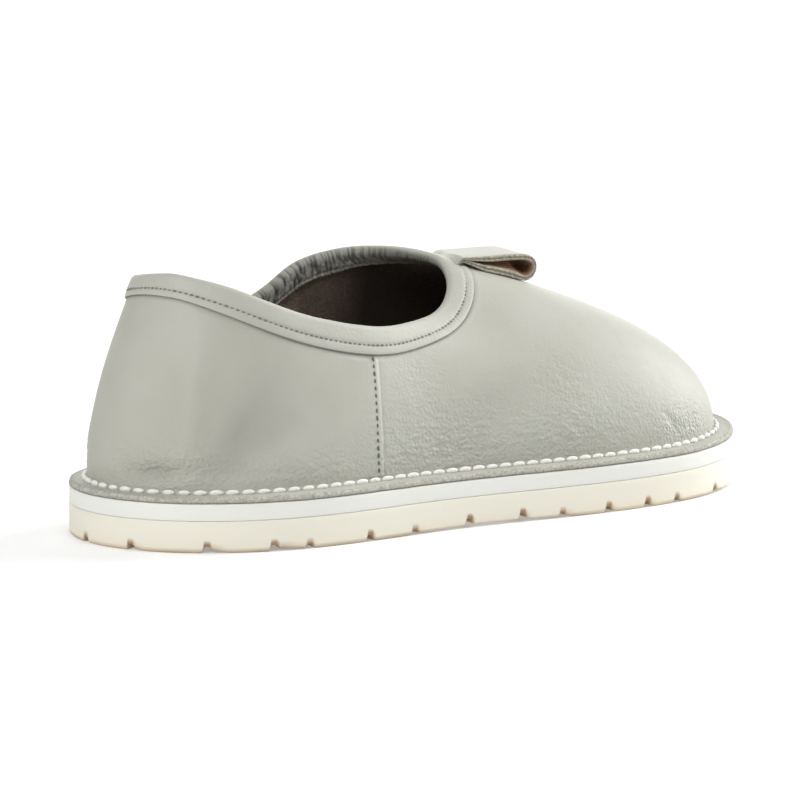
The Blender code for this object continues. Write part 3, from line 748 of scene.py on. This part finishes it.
def fold_relief(points):
    """How far the folds push the wall out at each point."""
    push = np.zeros(len(points))
    for row, centre, around, up, out in placed_folds:
        angle = math.radians(row.angle)
        along = around * math.cos(angle) + up * math.sin(angle)
        across = np.cross(out, along)
        away = points - centre
        spread = (away @ along / row.length) ** 2 + (away @ across / row.width) ** 2
        push += row.depth * np.exp(-spread - (away @ out / 0.02) ** 2)
    return push


def foot_fade(height):
    """How much of a fold is left near the flange, where the sewing holds the leather flat."""
    return np.clip(np.asarray(height) * 12 + 0.15, 0, 1)


def sunk(turn, height):
    """How deep the troughs press the leather's inner side and the lining in."""
    points = wall(turn, height)
    below = np.clip((0.86 - height) * 12, 0, 1)
    return np.minimum(fold_relief(points), 0) * foot_fade(height) * below


def near(value, centre, spread):
    """1 at centre, and fading to nothing over about two spreads on either side."""
    return np.exp(-((value - centre) / spread) ** 2)


class LeatherRings:
    """Closed rings of count points round a leather piece, and how raw, how grained and how shaded it is there."""

    def __init__(self, count):
        self.count = count
        self.rings, self.raw, self.grain, self.shade = [], [], [], []

    def keep(self, ring, raw, grain, shade):
        self.rings.append(ring)
        for store, value in ((self.raw, raw), (self.grain, grain), (self.shade, shade)):
            store.append(np.broadcast_to(value, self.count).astype(float))

    def close(self, name, finish):
        """Join the rings into a closed skin, the last one to the first."""
        faces = band_faces(self.count, len(self.rings), closed=True)
        made = add_mesh(name, np.concatenate(self.rings), faces, [finish])
        paint(made, raw=np.concatenate(self.raw), grain=np.concatenate(self.grain),
              shade=np.concatenate(self.shade))
        return made


def build_upper(finish):
    """One closed skin: the flange's cut edge and top, the fillet, the wall outside, and back down inside."""
    even = [turn for turn in np.arange(UPPER_STATIONS) / UPPER_STATIONS
            if min(abs(turn - outer_seam), abs(turn - inner_seam)) > 0.4 / UPPER_STATIONS]
    pairs = [seam + shift for seam in (outer_seam, inner_seam) for shift in (-SEAM_PAIR, SEAM_PAIR)]
    turn = np.array(sorted(even + pairs))
    count = len(turn)
    inset = flange_width(turn)
    lift = toe_lift(outline(turn, inset)[:, 0])
    edge_xy = outline(turn, 0.0)
    edge_lift = toe_lift(edge_xy[:, 0])
    into = inward(turn)
    frayed = rough_line(edge_xy, 420, 3.0) * 0.00022
    wavy = rough_line(edge_xy, 90, 5.0) * 0.00025
    skin = LeatherRings(count)
    keep = skin.keep

    # the flange
    for share, cut_in, dark in FLANGE_EDGE:
        ring = edge_xy + into * (cut_in + frayed + wavy)[:, None]
        rise = FLANGE_BOTTOM + (FLANGE_TOP - FLANGE_BOTTOM) * share
        keep(np.column_stack([ring, rise + edge_lift]), 1.0, 0.3, dark)
    for share in (0.26, 0.38, 0.52, 0.7, 0.85, 1.0):
        flat_inset = (inset - FLANGE_FILLET) * share
        ring = edge_xy + into * (flat_inset + (frayed + wavy) * (1 - share))[:, None]
        rise = FLANGE_TOP + edge_lift * (1 - share) + lift * share + wavy * 0.6 * math.sin(share * math.pi)
        keep(np.column_stack([ring, rise]), max(0.0, 1.1 - share * 2.4), 0.35, 0.0)
    # the fillet between the flange and the wall, with a little painted shade
    foot = outline(turn, inset)
    for step in range(1, 6):
        angle = math.pi / 2 * step / 6
        ring = foot - into * FLANGE_FILLET * (1 - math.sin(angle))
        keep(np.column_stack([ring, FLANGE_TOP + lift + FLANGE_FILLET * (1 - math.cos(angle))]), 0.0, 0.4, 0.05)

    # the wall
    proud = behind_seam(turn)
    proud = np.where(proud > 0, LAP_STEP * np.clip(1 - proud / LAP_LENGTH, 0, 1), 0.0)
    stop = below_collar(turn)(binding_depth(turn) + 0.0012)
    band_edge = below_collar(turn)(binding_depth(turn))
    crisp = 0.6 - 0.48 * near(turn, THROAT, 0.12)
    stitch_line = near(behind_seam(turn), SEAM_STITCH_BACK, SEAM_GROOVE_HALF)
    for level in np.linspace(0, 1, WALL_LEVELS + 1):
        height = np.full(count, level)
        points = wall(turn, height)
        _, _, out = wall_frame(turn, height)
        below = np.clip((stop - level) * 60, 0, 1)
        amount = wrinkling(points)
        fine = np.array([
            noise.fractal(Vector((place * 300, spot[2] * 720, place * 60)), 1.0, 2.1, 3) if much > 0.04 else 0.0
            for place, spot, much in zip(turn * SOLE_GIRTH, points, amount)])
        soft = np.array([noise.noise(Vector(spot) * 38) for spot in points])
        relief = fold_relief(points) * foot_fade(level)
        push = relief + (WRINKLE_DEPTH * fine * amount + UNEVEN_DEPTH * soft) * foot_fade(level)
        push -= SEAM_GROOVE * stitch_line
        # Painted shadow in a soft line under the binding's lower edge, fainter at the throat, and painted shade in
        # the folds' troughs.
        shadow_under_band = crisp * near(level, band_edge - 0.004, 0.008)
        painted_shade_share = np.clip(-relief * 75, 0, 0.20)
        keep(points + out * ((proud + push) * below)[:, None], 0.0, 0.07 + 1.25 * amount, shadow_under_band + painted_shade_share)

    # the inner face, painted in shade, and round the fillet's underside to the flange's lower face
    for level in np.linspace(1, 0, INNER_LEVELS + 1):
        height = np.full(count, level)
        _, _, out = wall_frame(turn, height)
        keep(wall(turn, height) + out * (sunk(turn, height) - WALL)[:, None], 0.0, 0.3, 0.4)
    for angle in (60, 30):
        angle = math.radians(angle)
        radius = FLANGE_FILLET + WALL
        ring = foot - into * FLANGE_FILLET + into * radius * math.sin(angle)
        keep(np.column_stack([ring, FLANGE_TOP + lift + FLANGE_FILLET - radius * math.cos(angle)]), 0.0, 0.3, 0.4)
    ring = outline(turn, inset - FLANGE_FILLET)
    keep(np.column_stack([ring, FLANGE_BOTTOM + lift]), 0.0, 0.3, 0.4)
    return skin.close("upper_leather", finish)


def leather_finish(name, dark, light, raw_colour, raw_dark=0.55):
    """Smooth leather: cloudy colour, satin gloss, grain that deepens where it is wrinkled, fibrous cut edges, and
    painted shade from its shade layer.
    """
    made, nodes, surface = new_finish(name, light, 0.5, 0.30)
    spot = add(nodes, "ShaderNodeTexCoord").outputs["Object"]
    raw, grained, shaded = (add(nodes, "ShaderNodeAttribute", attribute_name=layer).outputs["Fac"]
                            for layer in ("raw", "grain", "shade"))
    cells = add(nodes, "ShaderNodeTexVoronoi", {
        "Vector": spot, "Scale": 900.0, "Smoothness": 0.6, "Randomness": 1.0},
        feature="SMOOTH_F1").outputs["Distance"]
    skin = clouds(nodes, spot, 700.0, 3.0, 0.6)
    fray = clouds(nodes, spot, 900.0, 4.0, 0.75)
    cloudy = mixed(nodes, ranged(nodes, clouds(nodes, spot, 26.0, 4.0, 0.55), 0.3, 0.7), dark, light)
    torn = mixed(nodes, ranged(nodes, fray, 0.35, 0.65), [value * raw_dark for value in raw_colour], raw_colour)
    # Painted shade: the shade layer darkens the colour towards near black.
    painted_shade_share = combined(nodes, "MULTIPLY", shaded, 0.75)
    final = mixed(nodes, painted_shade_share, mixed(nodes, raw, cloudy, torn), (0.03, 0.03, 0.027))
    nodes.links.new(final, surface.inputs["Base Color"])
    rough = add(nodes, "ShaderNodeMix", {"Factor": raw, "A": ranged(nodes, skin, 0.3, 0.7, 0.48, 0.62), "B": 0.95})
    nodes.links.new(rough.outputs["Result"], surface.inputs["Roughness"])
    grain = combined(nodes, "MULTIPLY", cells, grained)
    fibres = combined(nodes, "MULTIPLY", fray, raw)
    relief = combined(nodes, "ADD", grain, combined(nodes, "MULTIPLY", skin, 0.16))
    add_bump(nodes, surface, combined(nodes, "ADD", relief, fibres), 0.9, 0.0005)
    return made


grey_leather = leather_finish("grey_leather_finish", (0.415, 0.413, 0.358), (0.465, 0.468, 0.412),
                              (0.60, 0.585, 0.51))
upper = build_upper(grey_leather)
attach(upper, "root")
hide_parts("upper")


# Lining
# Brown suede, glued to the inside of the leather from the footbed up to the binding, whose raw edge covers its upper
# edge. It follows the leather's deeper folds.
LINING_THICKNESS = 0.0005
LINING_STATIONS = 360
BINDING_TURN_IN = 0.0060
BINDING_OVERLAP = 0.0015         # of the binding on the lining

lining_turns = np.arange(LINING_STATIONS) / LINING_STATIONS
lining_top = below_collar(lining_turns)(BINDING_TURN_IN - BINDING_OVERLAP)
lining_rings = []
for offset, shares in ((WALL + 0.0001, np.linspace(0, 1, 30)), (WALL + LINING_THICKNESS, np.linspace(1, 0, 30))):
    for share in shares:
        level = lining_top * share
        _, _, out = wall_frame(lining_turns, level)
        lining_rings.append(wall(lining_turns, level) + out * (sunk(lining_turns, level) - offset)[:, None])
lining_faces = [face[::-1] for face in band_faces(LINING_STATIONS, len(lining_rings), closed=True)]
lining = add_mesh("lining", np.concatenate(lining_rings), lining_faces, [brown_suede])
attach(lining, "root")


# Flange stitching
# One row of thick white waxed thread all round, laid close to the wall, that holds the flange to the midsole.
STITCH_PITCH = 0.0054
STITCH_LENGTH = 0.0046
STITCH_WIDTH = 0.0020
STITCH_PROUD = 0.28              # of its width, from its middle down to the leather


def thread_tree(name):
    """Geometry Nodes: a rice-shaped stitch at every point of a path, laid along it, with the surface's normal up."""
    tree = bpy.data.node_groups.new(name, "GeometryNodeTree")
    sockets = tree.interface
    sockets.new_socket("Geometry", in_out="INPUT", socket_type="NodeSocketGeometry")
    for label, kind in (("Length", "NodeSocketFloat"), ("Width", "NodeSocketFloat"), ("Jitter", "NodeSocketFloat"),
                        ("Seed", "NodeSocketInt"), ("Thread", "NodeSocketMaterial")):
        sockets.new_socket(label, in_out="INPUT", socket_type=kind)
    sockets.new_socket("Geometry", in_out="OUTPUT", socket_type="NodeSocketGeometry")
    given = add(tree, "NodeGroupInput").outputs
    bead = add(tree, "GeometryNodeMeshUVSphere", {"Segments": 10, "Rings": 8, "Radius": 0.5})
    size = add(tree, "ShaderNodeCombineXYZ", {"X": given["Length"], "Y": given["Width"], "Z": given["Width"]})
    along = add(tree, "GeometryNodeInputNamedAttribute", {"Name": "along"}, data_type="FLOAT_VECTOR")
    out = add(tree, "GeometryNodeInputNamedAttribute", {"Name": "out"}, data_type="FLOAT_VECTOR")
    facing = add(tree, "FunctionNodeAxesToRotation", {
        "Primary Axis": out.outputs[0], "Secondary Axis": along.outputs[0]}, primary_axis="Z", secondary_axis="X")
    vary = add(tree, "FunctionNodeRandomValue", {
        "Min": combined(tree, "SUBTRACT", 1.0, given["Jitter"]), "Max": combined(tree, "ADD", 1.0, given["Jitter"]),
        "Seed": given["Seed"]}, data_type="FLOAT")
    scaled = add(tree, "ShaderNodeVectorMath", {0: size.outputs[0], "Scale": vary.outputs["Value"]},
                 operation="SCALE")
    laid = add(tree, "GeometryNodeInstanceOnPoints", {
        "Points": given["Geometry"], "Instance": bead.outputs["Mesh"], "Rotation": facing.outputs[0],
        "Scale": scaled.outputs[0]})
    real = add(tree, "GeometryNodeRealizeInstances", {"Geometry": laid.outputs[0]})
    smooth = add(tree, "GeometryNodeSetShadeSmooth", {"Geometry": real.outputs[0]})
    coloured = add(tree, "GeometryNodeSetMaterial", {"Geometry": smooth.outputs[0], "Material": given["Thread"]})
    add(tree, "NodeGroupOutput", {"Geometry": coloured.outputs[0]})
    return tree


laid_thread = thread_tree("laid_thread")


def sew(name, points, along, out, length, width, jitter, seed, finish):
    """Lay a stitch at each point, and return the row as a plain mesh."""
    mesh = bpy.data.meshes.new(name)
    mesh.from_pydata(points.tolist(), [], [])
    for label, vectors in (("along", along), ("out", out)):
        mesh.attributes.new(label, "FLOAT_VECTOR", "POINT").data.foreach_set("vector", np.ravel(vectors))
    holder = bpy.data.objects.new(name + "_path", mesh)
    bpy.context.scene.collection.objects.link(holder)
    sewing = holder.modifiers.new("sewing", "NODES")
    sewing.node_group = laid_thread
    sockets = {item.name: item.identifier for item in laid_thread.interface.items_tree if item.in_out == "INPUT"}
    for label, value in (("Length", length), ("Width", width), ("Jitter", jitter), ("Seed", seed),
                         ("Thread", finish)):
        sewing[sockets[label]] = value
    graph = bpy.context.evaluated_depsgraph_get()
    sewn = bpy.data.meshes.new_from_object(holder.evaluated_get(graph), depsgraph=graph)
    sewn.name = name
    bpy.data.objects.remove(holder)
    made = bpy.data.objects.new(name, sewn)
    bpy.context.scene.collection.objects.link(made)
    return made


def spaced_turns(curve, pitch, start=0.0, end=1.0):
    """Turns that lie a pitch apart along a curve of turn, from start to end."""
    turns = np.linspace(start, end, 1500)
    run = run_along(curve(turns))
    count = max(1, round(run[-1] / pitch))
    return np.interp((np.arange(count) + 0.5) / count * run[-1], run, turns)


def thread_finish(name, colour, ply):
    """Twisted thread: fine diagonal plies in the bump, and a soft waxed gloss."""
    made, nodes, surface = new_finish(name, colour, 0.6, 0.3)
    spot = add(nodes, "ShaderNodeTexCoord").outputs["Object"]
    plies = add(nodes, "ShaderNodeTexWave", {
        "Vector": spot, "Scale": ply, "Distortion": 3.0, "Detail": 2.0}, bands_direction="DIAGONAL")
    add_bump(nodes, surface, plies.outputs["Fac"], 0.5, 0.0002)
    return made


white_thread = thread_finish("white_thread_finish", (0.88, 0.87, 0.82), 500.0)


def flange_path(turn):
    """The stitches' middles, at the foot of the wall's fillet."""
    inset = flange_width(turn) - FLANGE_FILLET * 0.55
    spot = outline(turn, inset)
    return np.column_stack([spot, FLANGE_TOP + toe_lift(spot[:, 0]) + STITCH_WIDTH * STITCH_PROUD])


stitch_turns = spaced_turns(flange_path, STITCH_PITCH)
ahead = flange_path(stitch_turns + 0.001) - flange_path(stitch_turns - 0.001)
ahead /= np.linalg.norm(ahead, axis=1)[:, None]
outward = np.column_stack([-inward(stitch_turns) * 0.35, np.full(len(stitch_turns), 0.94)])
flange_stitches = sew("flange_stitches", flange_path(stitch_turns), ahead, outward, STITCH_LENGTH, STITCH_WIDTH,
                      0.08, 4, white_thread)
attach(flange_stitches, "root")


# Side seams
# A single row of fine dark thread behind the quarter's edge, on each side of the shoe.
SEAM_STITCH_PITCH = 0.0026
SEAM_STITCH_LENGTH = 0.0017
SEAM_STITCH_WIDTH = 0.0009
SEAM_STITCH_PROUD = 0.00012
grey_thread = thread_finish("grey_thread_finish", (0.14, 0.14, 0.12), 1500.0)

seam_points, seam_along, seam_out = [], [], []
for seam, back_turn in ((outer_seam, -1.0), (inner_seam, 1.0)):
    turn = np.full(200, seam + back_turn * SEAM_STITCH_BACK / SOLE_GIRTH)
    stop = below_collar(turn[:1])(binding_depth(turn[:1]) + 0.0004)[0]
    level = np.linspace(0.01, stop, 200)
    line = wall(turn, level)
    run = run_along(line)
    count = round(run[-1] / SEAM_STITCH_PITCH)
    level = np.interp((np.arange(count) + 0.5) / count * run[-1], run, level)
    turn = np.full(count, turn[0])
    points = wall(turn, level)
    _, up, out = wall_frame(turn, level)
    proud = LAP_STEP * (1 - SEAM_STITCH_BACK / LAP_LENGTH) - SEAM_GROOVE + SEAM_STITCH_PROUD
    seam_points.append(points + out * (proud + fold_relief(points))[:, None])
    seam_along.append(up)
    seam_out.append(out)
seam_stitches = sew("seam_stitches", np.concatenate(seam_points), np.concatenate(seam_along),
                    np.concatenate(seam_out), SEAM_STITCH_LENGTH, SEAM_STITCH_WIDTH, 0.12, 9, grey_thread)
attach(seam_stitches, "root")


# Collar binding
# A strip of the same leather, folded over the collar's edge and topstitched near its lower edge. On the inside its
# raw edge is gathered into fine pleats where the collar dips.
BINDING_THICKNESS = 0.0012
BINDING_STATIONS = 960
TOPSTITCH_PITCH = 0.0020
TOPSTITCH_LENGTH = 0.0014
TOPSTITCH_WIDTH = 0.00080
TOPSTITCH_SHARE = 0.60           # of the band's width, down from the collar's edge
GATHER_PITCH = 0.0008
GATHER_DEPTH = 0.00065
BAND_THICKNESS = 0.0008          # pressed thin on the outer side


def rim_line(turn):
    """The collar's edge."""
    return wall(turn, np.ones(len(turn)))


rim_turns = np.linspace(0, 1, 1500)
rim_run = run_along(rim_line(rim_turns))


def collar_run(turn):
    """Distance along the collar's edge, in metres from the back of the heel."""
    return np.interp(turn % 1.0, rim_turns, rim_run)


def topstitch_height(turn):
    """The wall's heights at the topstitching."""
    return below_collar(turn)(binding_depth(turn) * TOPSTITCH_SHARE)


topstitch_turns = spaced_turns(lambda turn: wall(turn, topstitch_height(turn)), TOPSTITCH_PITCH)


def build_binding(finish):
    """One closed skin: the band's cut edge and outer side, over the rim, the gathers inside, and back up beneath."""
    turn = np.arange(BINDING_STATIONS) / BINDING_STATIONS
    depth = binding_depth(turn)
    height_at = below_collar(turn)
    far = CLEARANCE + BINDING_THICKNESS
    run = collar_run(turn)
    tight = 0.5 + 0.5 * near(turn, 0.78, 0.09) + 0.4 * near(turn, 0.20, 0.08)
    tight *= 1 - 0.75 * near(turn, THROAT, 0.12)
    # Painted shade on the collar's inner side, strongest at turn 0.6.
    painted_shade_amount = 0.38 + 0.42 * near(turn, 0.60, 0.10)

    def pleats(distance):
        """Fine, uneven gathers that run down the inner side and split here and there, from -1 to 1."""
        fine = np.array([noise.noise(Vector((place / GATHER_PITCH, distance / 0.0035, 2.0))) for place in run])
        wide = np.array([noise.noise(Vector((place / (2.6 * GATHER_PITCH), distance / 0.009, 8.0)))
                         for place in run])
        return np.clip(1.5 * fine + 1.1 * wide, -1, 0.6) * tight

    puckers = np.abs(np.sin(math.pi * (np.interp(turn, topstitch_turns, np.arange(len(topstitch_turns))) + 0.5)))
    slow = np.array([noise.noise(Vector(spot) * 120) for spot in rim_line(turn)]) * 0.0001
    skin = LeatherRings(BINDING_STATIONS)

    def leg(distance, offset, raw, grain, shade):
        """A ring at a distance down from the rim, and offset out from the wall's outer face."""
        height = height_at(distance)
        _, _, out = wall_frame(turn, height)
        skin.keep(wall(turn, height) + out * np.broadcast_to(offset, BINDING_STATIONS)[:, None], raw, grain, shade)

    # the cut edge and the outer side, with the topstitching's groove, and painted shade along the band's lower edge
    # and in the groove, fainter at the throat
    faint = 1 - 0.6 * near(turn, 0.47, 0.10)
    band = BAND_THICKNESS * (1 - 0.4 * near(turn, THROAT, 0.10)) + slow
    for share, offset, dark in ((0.0, 0.0, 0.8), (0.0, 0.45, 0.5), (0.012, 0.80, 0.2), (0.035, 0.95, 0.0),
                                (0.07, 1.0, 0.0)):
        leg(depth * (1 - share), CLEARANCE * 0.3 + (band - CLEARANCE * 0.3) * offset, 0.0, 0.15, dark * faint)
    for share in np.linspace(0.90, 0.0, 22):
        groove = near(share * depth, TOPSTITCH_SHARE * depth, 0.0007)
        pucker = near(share * depth, TOPSTITCH_SHARE * depth, 0.0018) * (1 - puckers) * faint
        offset = band - 0.00022 * groove - 0.00012 * pucker + 0.0002 * math.sin(math.pi * share)
        leg(depth * share, offset, 0.0, 0.15, 0.3 * groove * (1 - puckers) * faint)

    # over the rim, with painted shade in the pleats' hollows and on the inner half
    rim = np.ones(BINDING_STATIONS)
    _, up, out = wall_frame(turn, rim)
    middle = rim_line(turn) - out * WALL / 2
    for step in range(1, 14):
        angle = math.pi * step / 14
        start = smooth_step(angle, math.pi * 0.34, math.pi * 0.66)
        pleat = pleats(0.001 * math.cos(angle))
        side = WALL / 2 + (band if angle < math.pi / 2 else far + slow) + GATHER_DEPTH * 0.6 * pleat * start
        top = WALL / 2 + far * 0.92 + slow + GATHER_DEPTH * 0.4 * pleat * start
        skin.keep(middle + out * (side * math.cos(angle))[:, None] + up * (top * math.sin(angle))[:, None],
                  0.0, 0.15 + 0.2 * start, np.clip(1.1 * np.clip(-pleat, 0, 1) + painted_shade_amount, 0, 0.95) * start)

    # the gathers inside, down to the raw edge, with painted shade in the pleats' hollows, less on the pale raw edge
    for distance in np.linspace(0.0, BINDING_TURN_IN, 14)[1:]:
        share = distance / BINDING_TURN_IN
        pleat = pleats(-0.001 - distance)
        pale = smooth_step(share, 0.80, 0.88) * (1 - 0.8 * near(turn, 0.58, 0.10))
        offset = -WALL - far - slow - GATHER_DEPTH * pleat * (1 - 0.5 * pale) + 0.0004 * near(share, 0.78, 0.05)
        leg(np.full(BINDING_STATIONS, distance), offset, 0.9 * pale, 0.5,
            np.clip(painted_shade_amount + 0.1 * share + 1.1 * np.clip(-pleat, 0, 1), 0, 0.95) * (1 - 0.7 * pale))
    leg(np.full(BINDING_STATIONS, BINDING_TURN_IN + 0.0002), -WALL - CLEARANCE - 0.0006, 1.0, 0.5, 0.2)

    # back up inside the fold and down the outer side, close to the wall, painted in shade
    for distance in (BINDING_TURN_IN, BINDING_TURN_IN / 2):
        leg(np.full(BINDING_STATIONS, distance), -WALL - 0.00005 - CLEARANCE * 0.5, 0.0, 0.3, 0.5)
    for step in range(5):
        angle = math.pi * (1 - step / 4)
        skin.keep(middle + (out * math.cos(angle) + up * math.sin(angle)) * (WALL / 2 + CLEARANCE * 0.8),
                  0.0, 0.3, 0.5)
    leg(depth * 0.5, CLEARANCE * 0.3, 0.0, 0.3, 0.5)
    return skin.close("binding_leather", finish)


binding_leather = leather_finish("binding_leather_finish", (0.430, 0.428, 0.374), (0.475, 0.477, 0.422),
                                 (0.42, 0.40, 0.34))
binding = build_binding(binding_leather)
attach(binding, "root")
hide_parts("collar_binding")

fine_thread = thread_finish("fine_thread_finish", (0.20, 0.20, 0.175), 1500.0)
height = topstitch_height(topstitch_turns)
sunken = 0.00014 + 0.00080 * near(topstitch_turns, THROAT, 0.10)     # the thread sinks deep at the throat
points = wall(topstitch_turns, height)
around, _, out = wall_frame(topstitch_turns, height)
topstitches = sew("binding_topstitches", points + out * (BAND_THICKNESS - sunken)[:, None], around,
                  out, TOPSTITCH_LENGTH, TOPSTITCH_WIDTH, 0.15, 12, fine_thread)
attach(topstitches, "root")


# Throat tab
# A strip of doubled leather, folded forward into a soft loop and sewn to the throat by both ends. Its cut edges show
# the two layers and their fibres, and its inside is bare brown suede.
TAB_WIDTH = 0.025
TAB_SIDE = 0.0125                # the strip's middle, towards the inner side

# forward and height of the strip's middle, and its thickness, in millimetres, from the lower sewn end round the fold
Tab = namedtuple("Tab", "forward height thickness")
TAB = [
    Tab(115.5, 85.0, 0.9),
    Tab(118.5, 84.4, 1.0),
    Tab(121.5, 83.6, 1.4),
    Tab(125.0, 82.3, 1.9),
    Tab(128.8, 80.8, 2.4),
    Tab(133.0, 79.2, 2.5),
    Tab(137.0, 77.7, 2.5),
    Tab(140.2, 76.6, 2.4),
    Tab(143.4, 76.2, 2.1),
    Tab(146.4, 76.7, 1.8),
    Tab(148.6, 78.2, 1.6),
    Tab(149.4, 80.4, 1.6),
    Tab(148.6, 82.6, 1.9),
    Tab(146.0, 84.0, 2.1),
    Tab(142.2, 84.4, 2.2),
    Tab(137.0, 84.6, 2.3),
    Tab(131.0, 84.6, 2.3),
    Tab(126.0, 84.8, 1.9),
    Tab(121.5, 85.1, 1.4),
    Tab(118.5, 85.3, 1.0),
    Tab(115.5, 85.6, 0.9),
]
TAB_LEAN = 0.16                  # how much further forward the strip runs towards its inner side
TAB_LEAN_FROM, TAB_LEAN_TO = 0.120, 0.146
TAB_GAP = 0.0003
TAB_STEPS = 150

# A cut edge's two layers: place through the thickness, and bulge
TAB_EDGE = ((0.42, -0.0001), (0.30, 0.00015), (0.15, 0.0001), (0.03, -0.0003), (-0.03, -0.0003), (-0.15, 0.0001),
            (-0.30, 0.00015), (-0.42, -0.0001))


def build_tab(outer_finish, inner_finish):
    """The strip's section, carried along the loop and draped on the vamp and the binding."""
    rows = np.array(TAB) / 1000
    chords = run_along(rows[:, :2])
    places = np.linspace(0, chords[-1], TAB_STEPS)
    path = np.empty((TAB_STEPS, 3))
    for here, place in enumerate(places):
        row = int(np.clip(np.searchsorted(chords, place) - 1, 0, len(rows) - 2))
        share = (place - chords[row]) / (chords[row + 1] - chords[row])
        before = rows[max(row - 1, 0)]
        after = rows[min(row + 2, len(rows) - 1)]
        a, b = rows[row], rows[row + 1]
        path[here] = 0.5 * (2 * a + (b - before) * share + (2 * before - 5 * a + 4 * b - after) * share ** 2
                            + (3 * a - before - 3 * b + after) * share ** 3)
    ahead = np.gradient(path[:, :2], axis=0)
    ahead /= np.linalg.norm(ahead, axis=1)[:, None]
    out = np.column_stack([ahead[:, 1], -ahead[:, 0]])       # away from the loop's inside
    section = []                                             # across, through the thickness, raw, inside
    half = TAB_WIDTH / 2
    for share in np.linspace(-1, 1, 25):
        section.append((share * (half - 0.0004), 0.5, 0.0, 0.0))
    for through, bulge in TAB_EDGE:
        section.append((half + bulge, through, 1.0, 0.0))
    for share in np.linspace(1, -1, 25):
        section.append((share * (half - 0.0004), -0.5, 0.0, 1.0))
    for through, bulge in TAB_EDGE[::-1]:
        section.append((-half - bulge, through, 1.0, 0.0))
    count = len(section)
    graph = bpy.context.evaluated_depsgraph_get()
    grounds = [BVHTree.FromObject(piece, graph) for piece in (upper, binding)]

    def ground(x, y):
        """The height of the leather under a point."""
        hits = [found.ray_cast(Vector((x, y, 0.15)), Vector((0, 0, -1)))[0] for found in grounds]
        return max([hit.z for hit in hits if hit is not None], default=0.0)

    def leaned(here, y):
        """How far forward the strip's lean moves a point of its path at y."""
        return TAB_LEAN * y * float(smooth_step(path[here, 0], TAB_LEAN_FROM, TAB_LEAN_TO))

    # the lower layer rests on the vamp, the upper one clears it, and the loop closes towards the inner side
    sides = np.linspace(-half, half, 9)
    fold = int(np.argmax(path[:, 0]))
    lifted = np.zeros((TAB_STEPS, len(sides)))
    sewn = np.zeros((TAB_STEPS, len(sides)))
    for here in range(TAB_STEPS):
        for spot, across in enumerate(sides):
            x = path[here, 0] + leaned(here, TAB_SIDE + across)
            low = path[here, 1] - 0.5 * path[here, 2] * abs(out[here, 1])
            surface = ground(x, TAB_SIDE + across)
            least = surface + TAB_GAP
            if here > fold:
                below = int(np.argmin(np.abs(path[:fold, 0] - path[here, 0])))
                least += path[below, 2]
            else:
                over = fold + int(np.argmin(np.abs(path[fold:, 0] - path[here, 0])))
                gap = 1.2 * (path[over, 1] - path[here, 1] - 0.5 * (path[over, 2] + path[here, 2]))
                closed = smooth_step(TAB_SIDE + across, 0.001, 0.010) * (1 - smooth_step(x, 0.141, 0.152))
                lifted[here, spot] = max(0.0, gap) * float(closed)
            lifted[here, spot] += max(0.0, least - low - lifted[here, spot])
            sewn[here, spot] = surface - 0.0006 - path[here, 1]
    for _ in range(6):
        lifted[1:-1] = (lifted[:-2] + 2 * lifted[1:-1] + lifted[2:]) / 4
        lifted[:, 1:-1] = (lifted[:, :-2] + 2 * lifted[:, 1:-1] + lifted[:, 2:]) / 4
    held = 1 - smooth_step(path[:, :1], 0.1148, 0.1185 + 0.24 * (TAB_SIDE + sides[None]))
    lifted = lifted * (1 - held) + sewn * held
    points, raw, shade = [], [], []
    for here in range(TAB_STEPS):
        for across, through, is_raw, _ in section:
            y = TAB_SIDE + across
            x = path[here, 0] + out[here, 0] * through * path[here, 2]
            x += leaned(here, y)
            z = path[here, 1] + out[here, 1] * through * path[here, 2] + np.interp(across, sides, lifted[here])
            rough = noise.noise(Vector((x, y, z)) * 900) * 0.00025 + noise.noise(Vector((x, y, z)) * 220) * 0.0002
            y += math.copysign(rough, across) * is_raw
            z += noise.noise(Vector((x, y, z)) * 60) * 0.0002
            points.append((x, y, z))
            raw.append(is_raw)
            shade.append(0.35 if is_raw and abs(through) < 0.05 else 0.0)
    faces, inside = [], []
    for here in range(TAB_STEPS - 1):
        for spot in range(count):
            after = (spot + 1) % count
            faces.append((here * count + spot, here * count + after, (here + 1) * count + after,
                          (here + 1) * count + spot))
            inside.append(1 if section[spot][3] and section[after][3] else 0)
    last = (TAB_STEPS - 1) * count
    faces += [tuple(range(count))[::-1], tuple(range(last, last + count))]
    inside += [0, 0]
    made = add_mesh("throat_loop", points, faces, [outer_finish, inner_finish])
    made.data.polygons.foreach_set("material_index", inside)
    paint(made, raw=raw, shade=shade, grain=[0.4] * len(points))
    return made


tab_leather = leather_finish("tab_leather_finish", (0.44, 0.44, 0.39), (0.50, 0.50, 0.445), (0.60, 0.55, 0.45),
                             raw_dark=0.35)
tab_suede = suede_finish("tab_suede_finish", (0.24, 0.13, 0.065), (0.52, 0.31, 0.17), 0.6, 0.0)
tab = build_tab(tab_leather, tab_suede)
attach(tab, "root")
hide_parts("throat_tab")
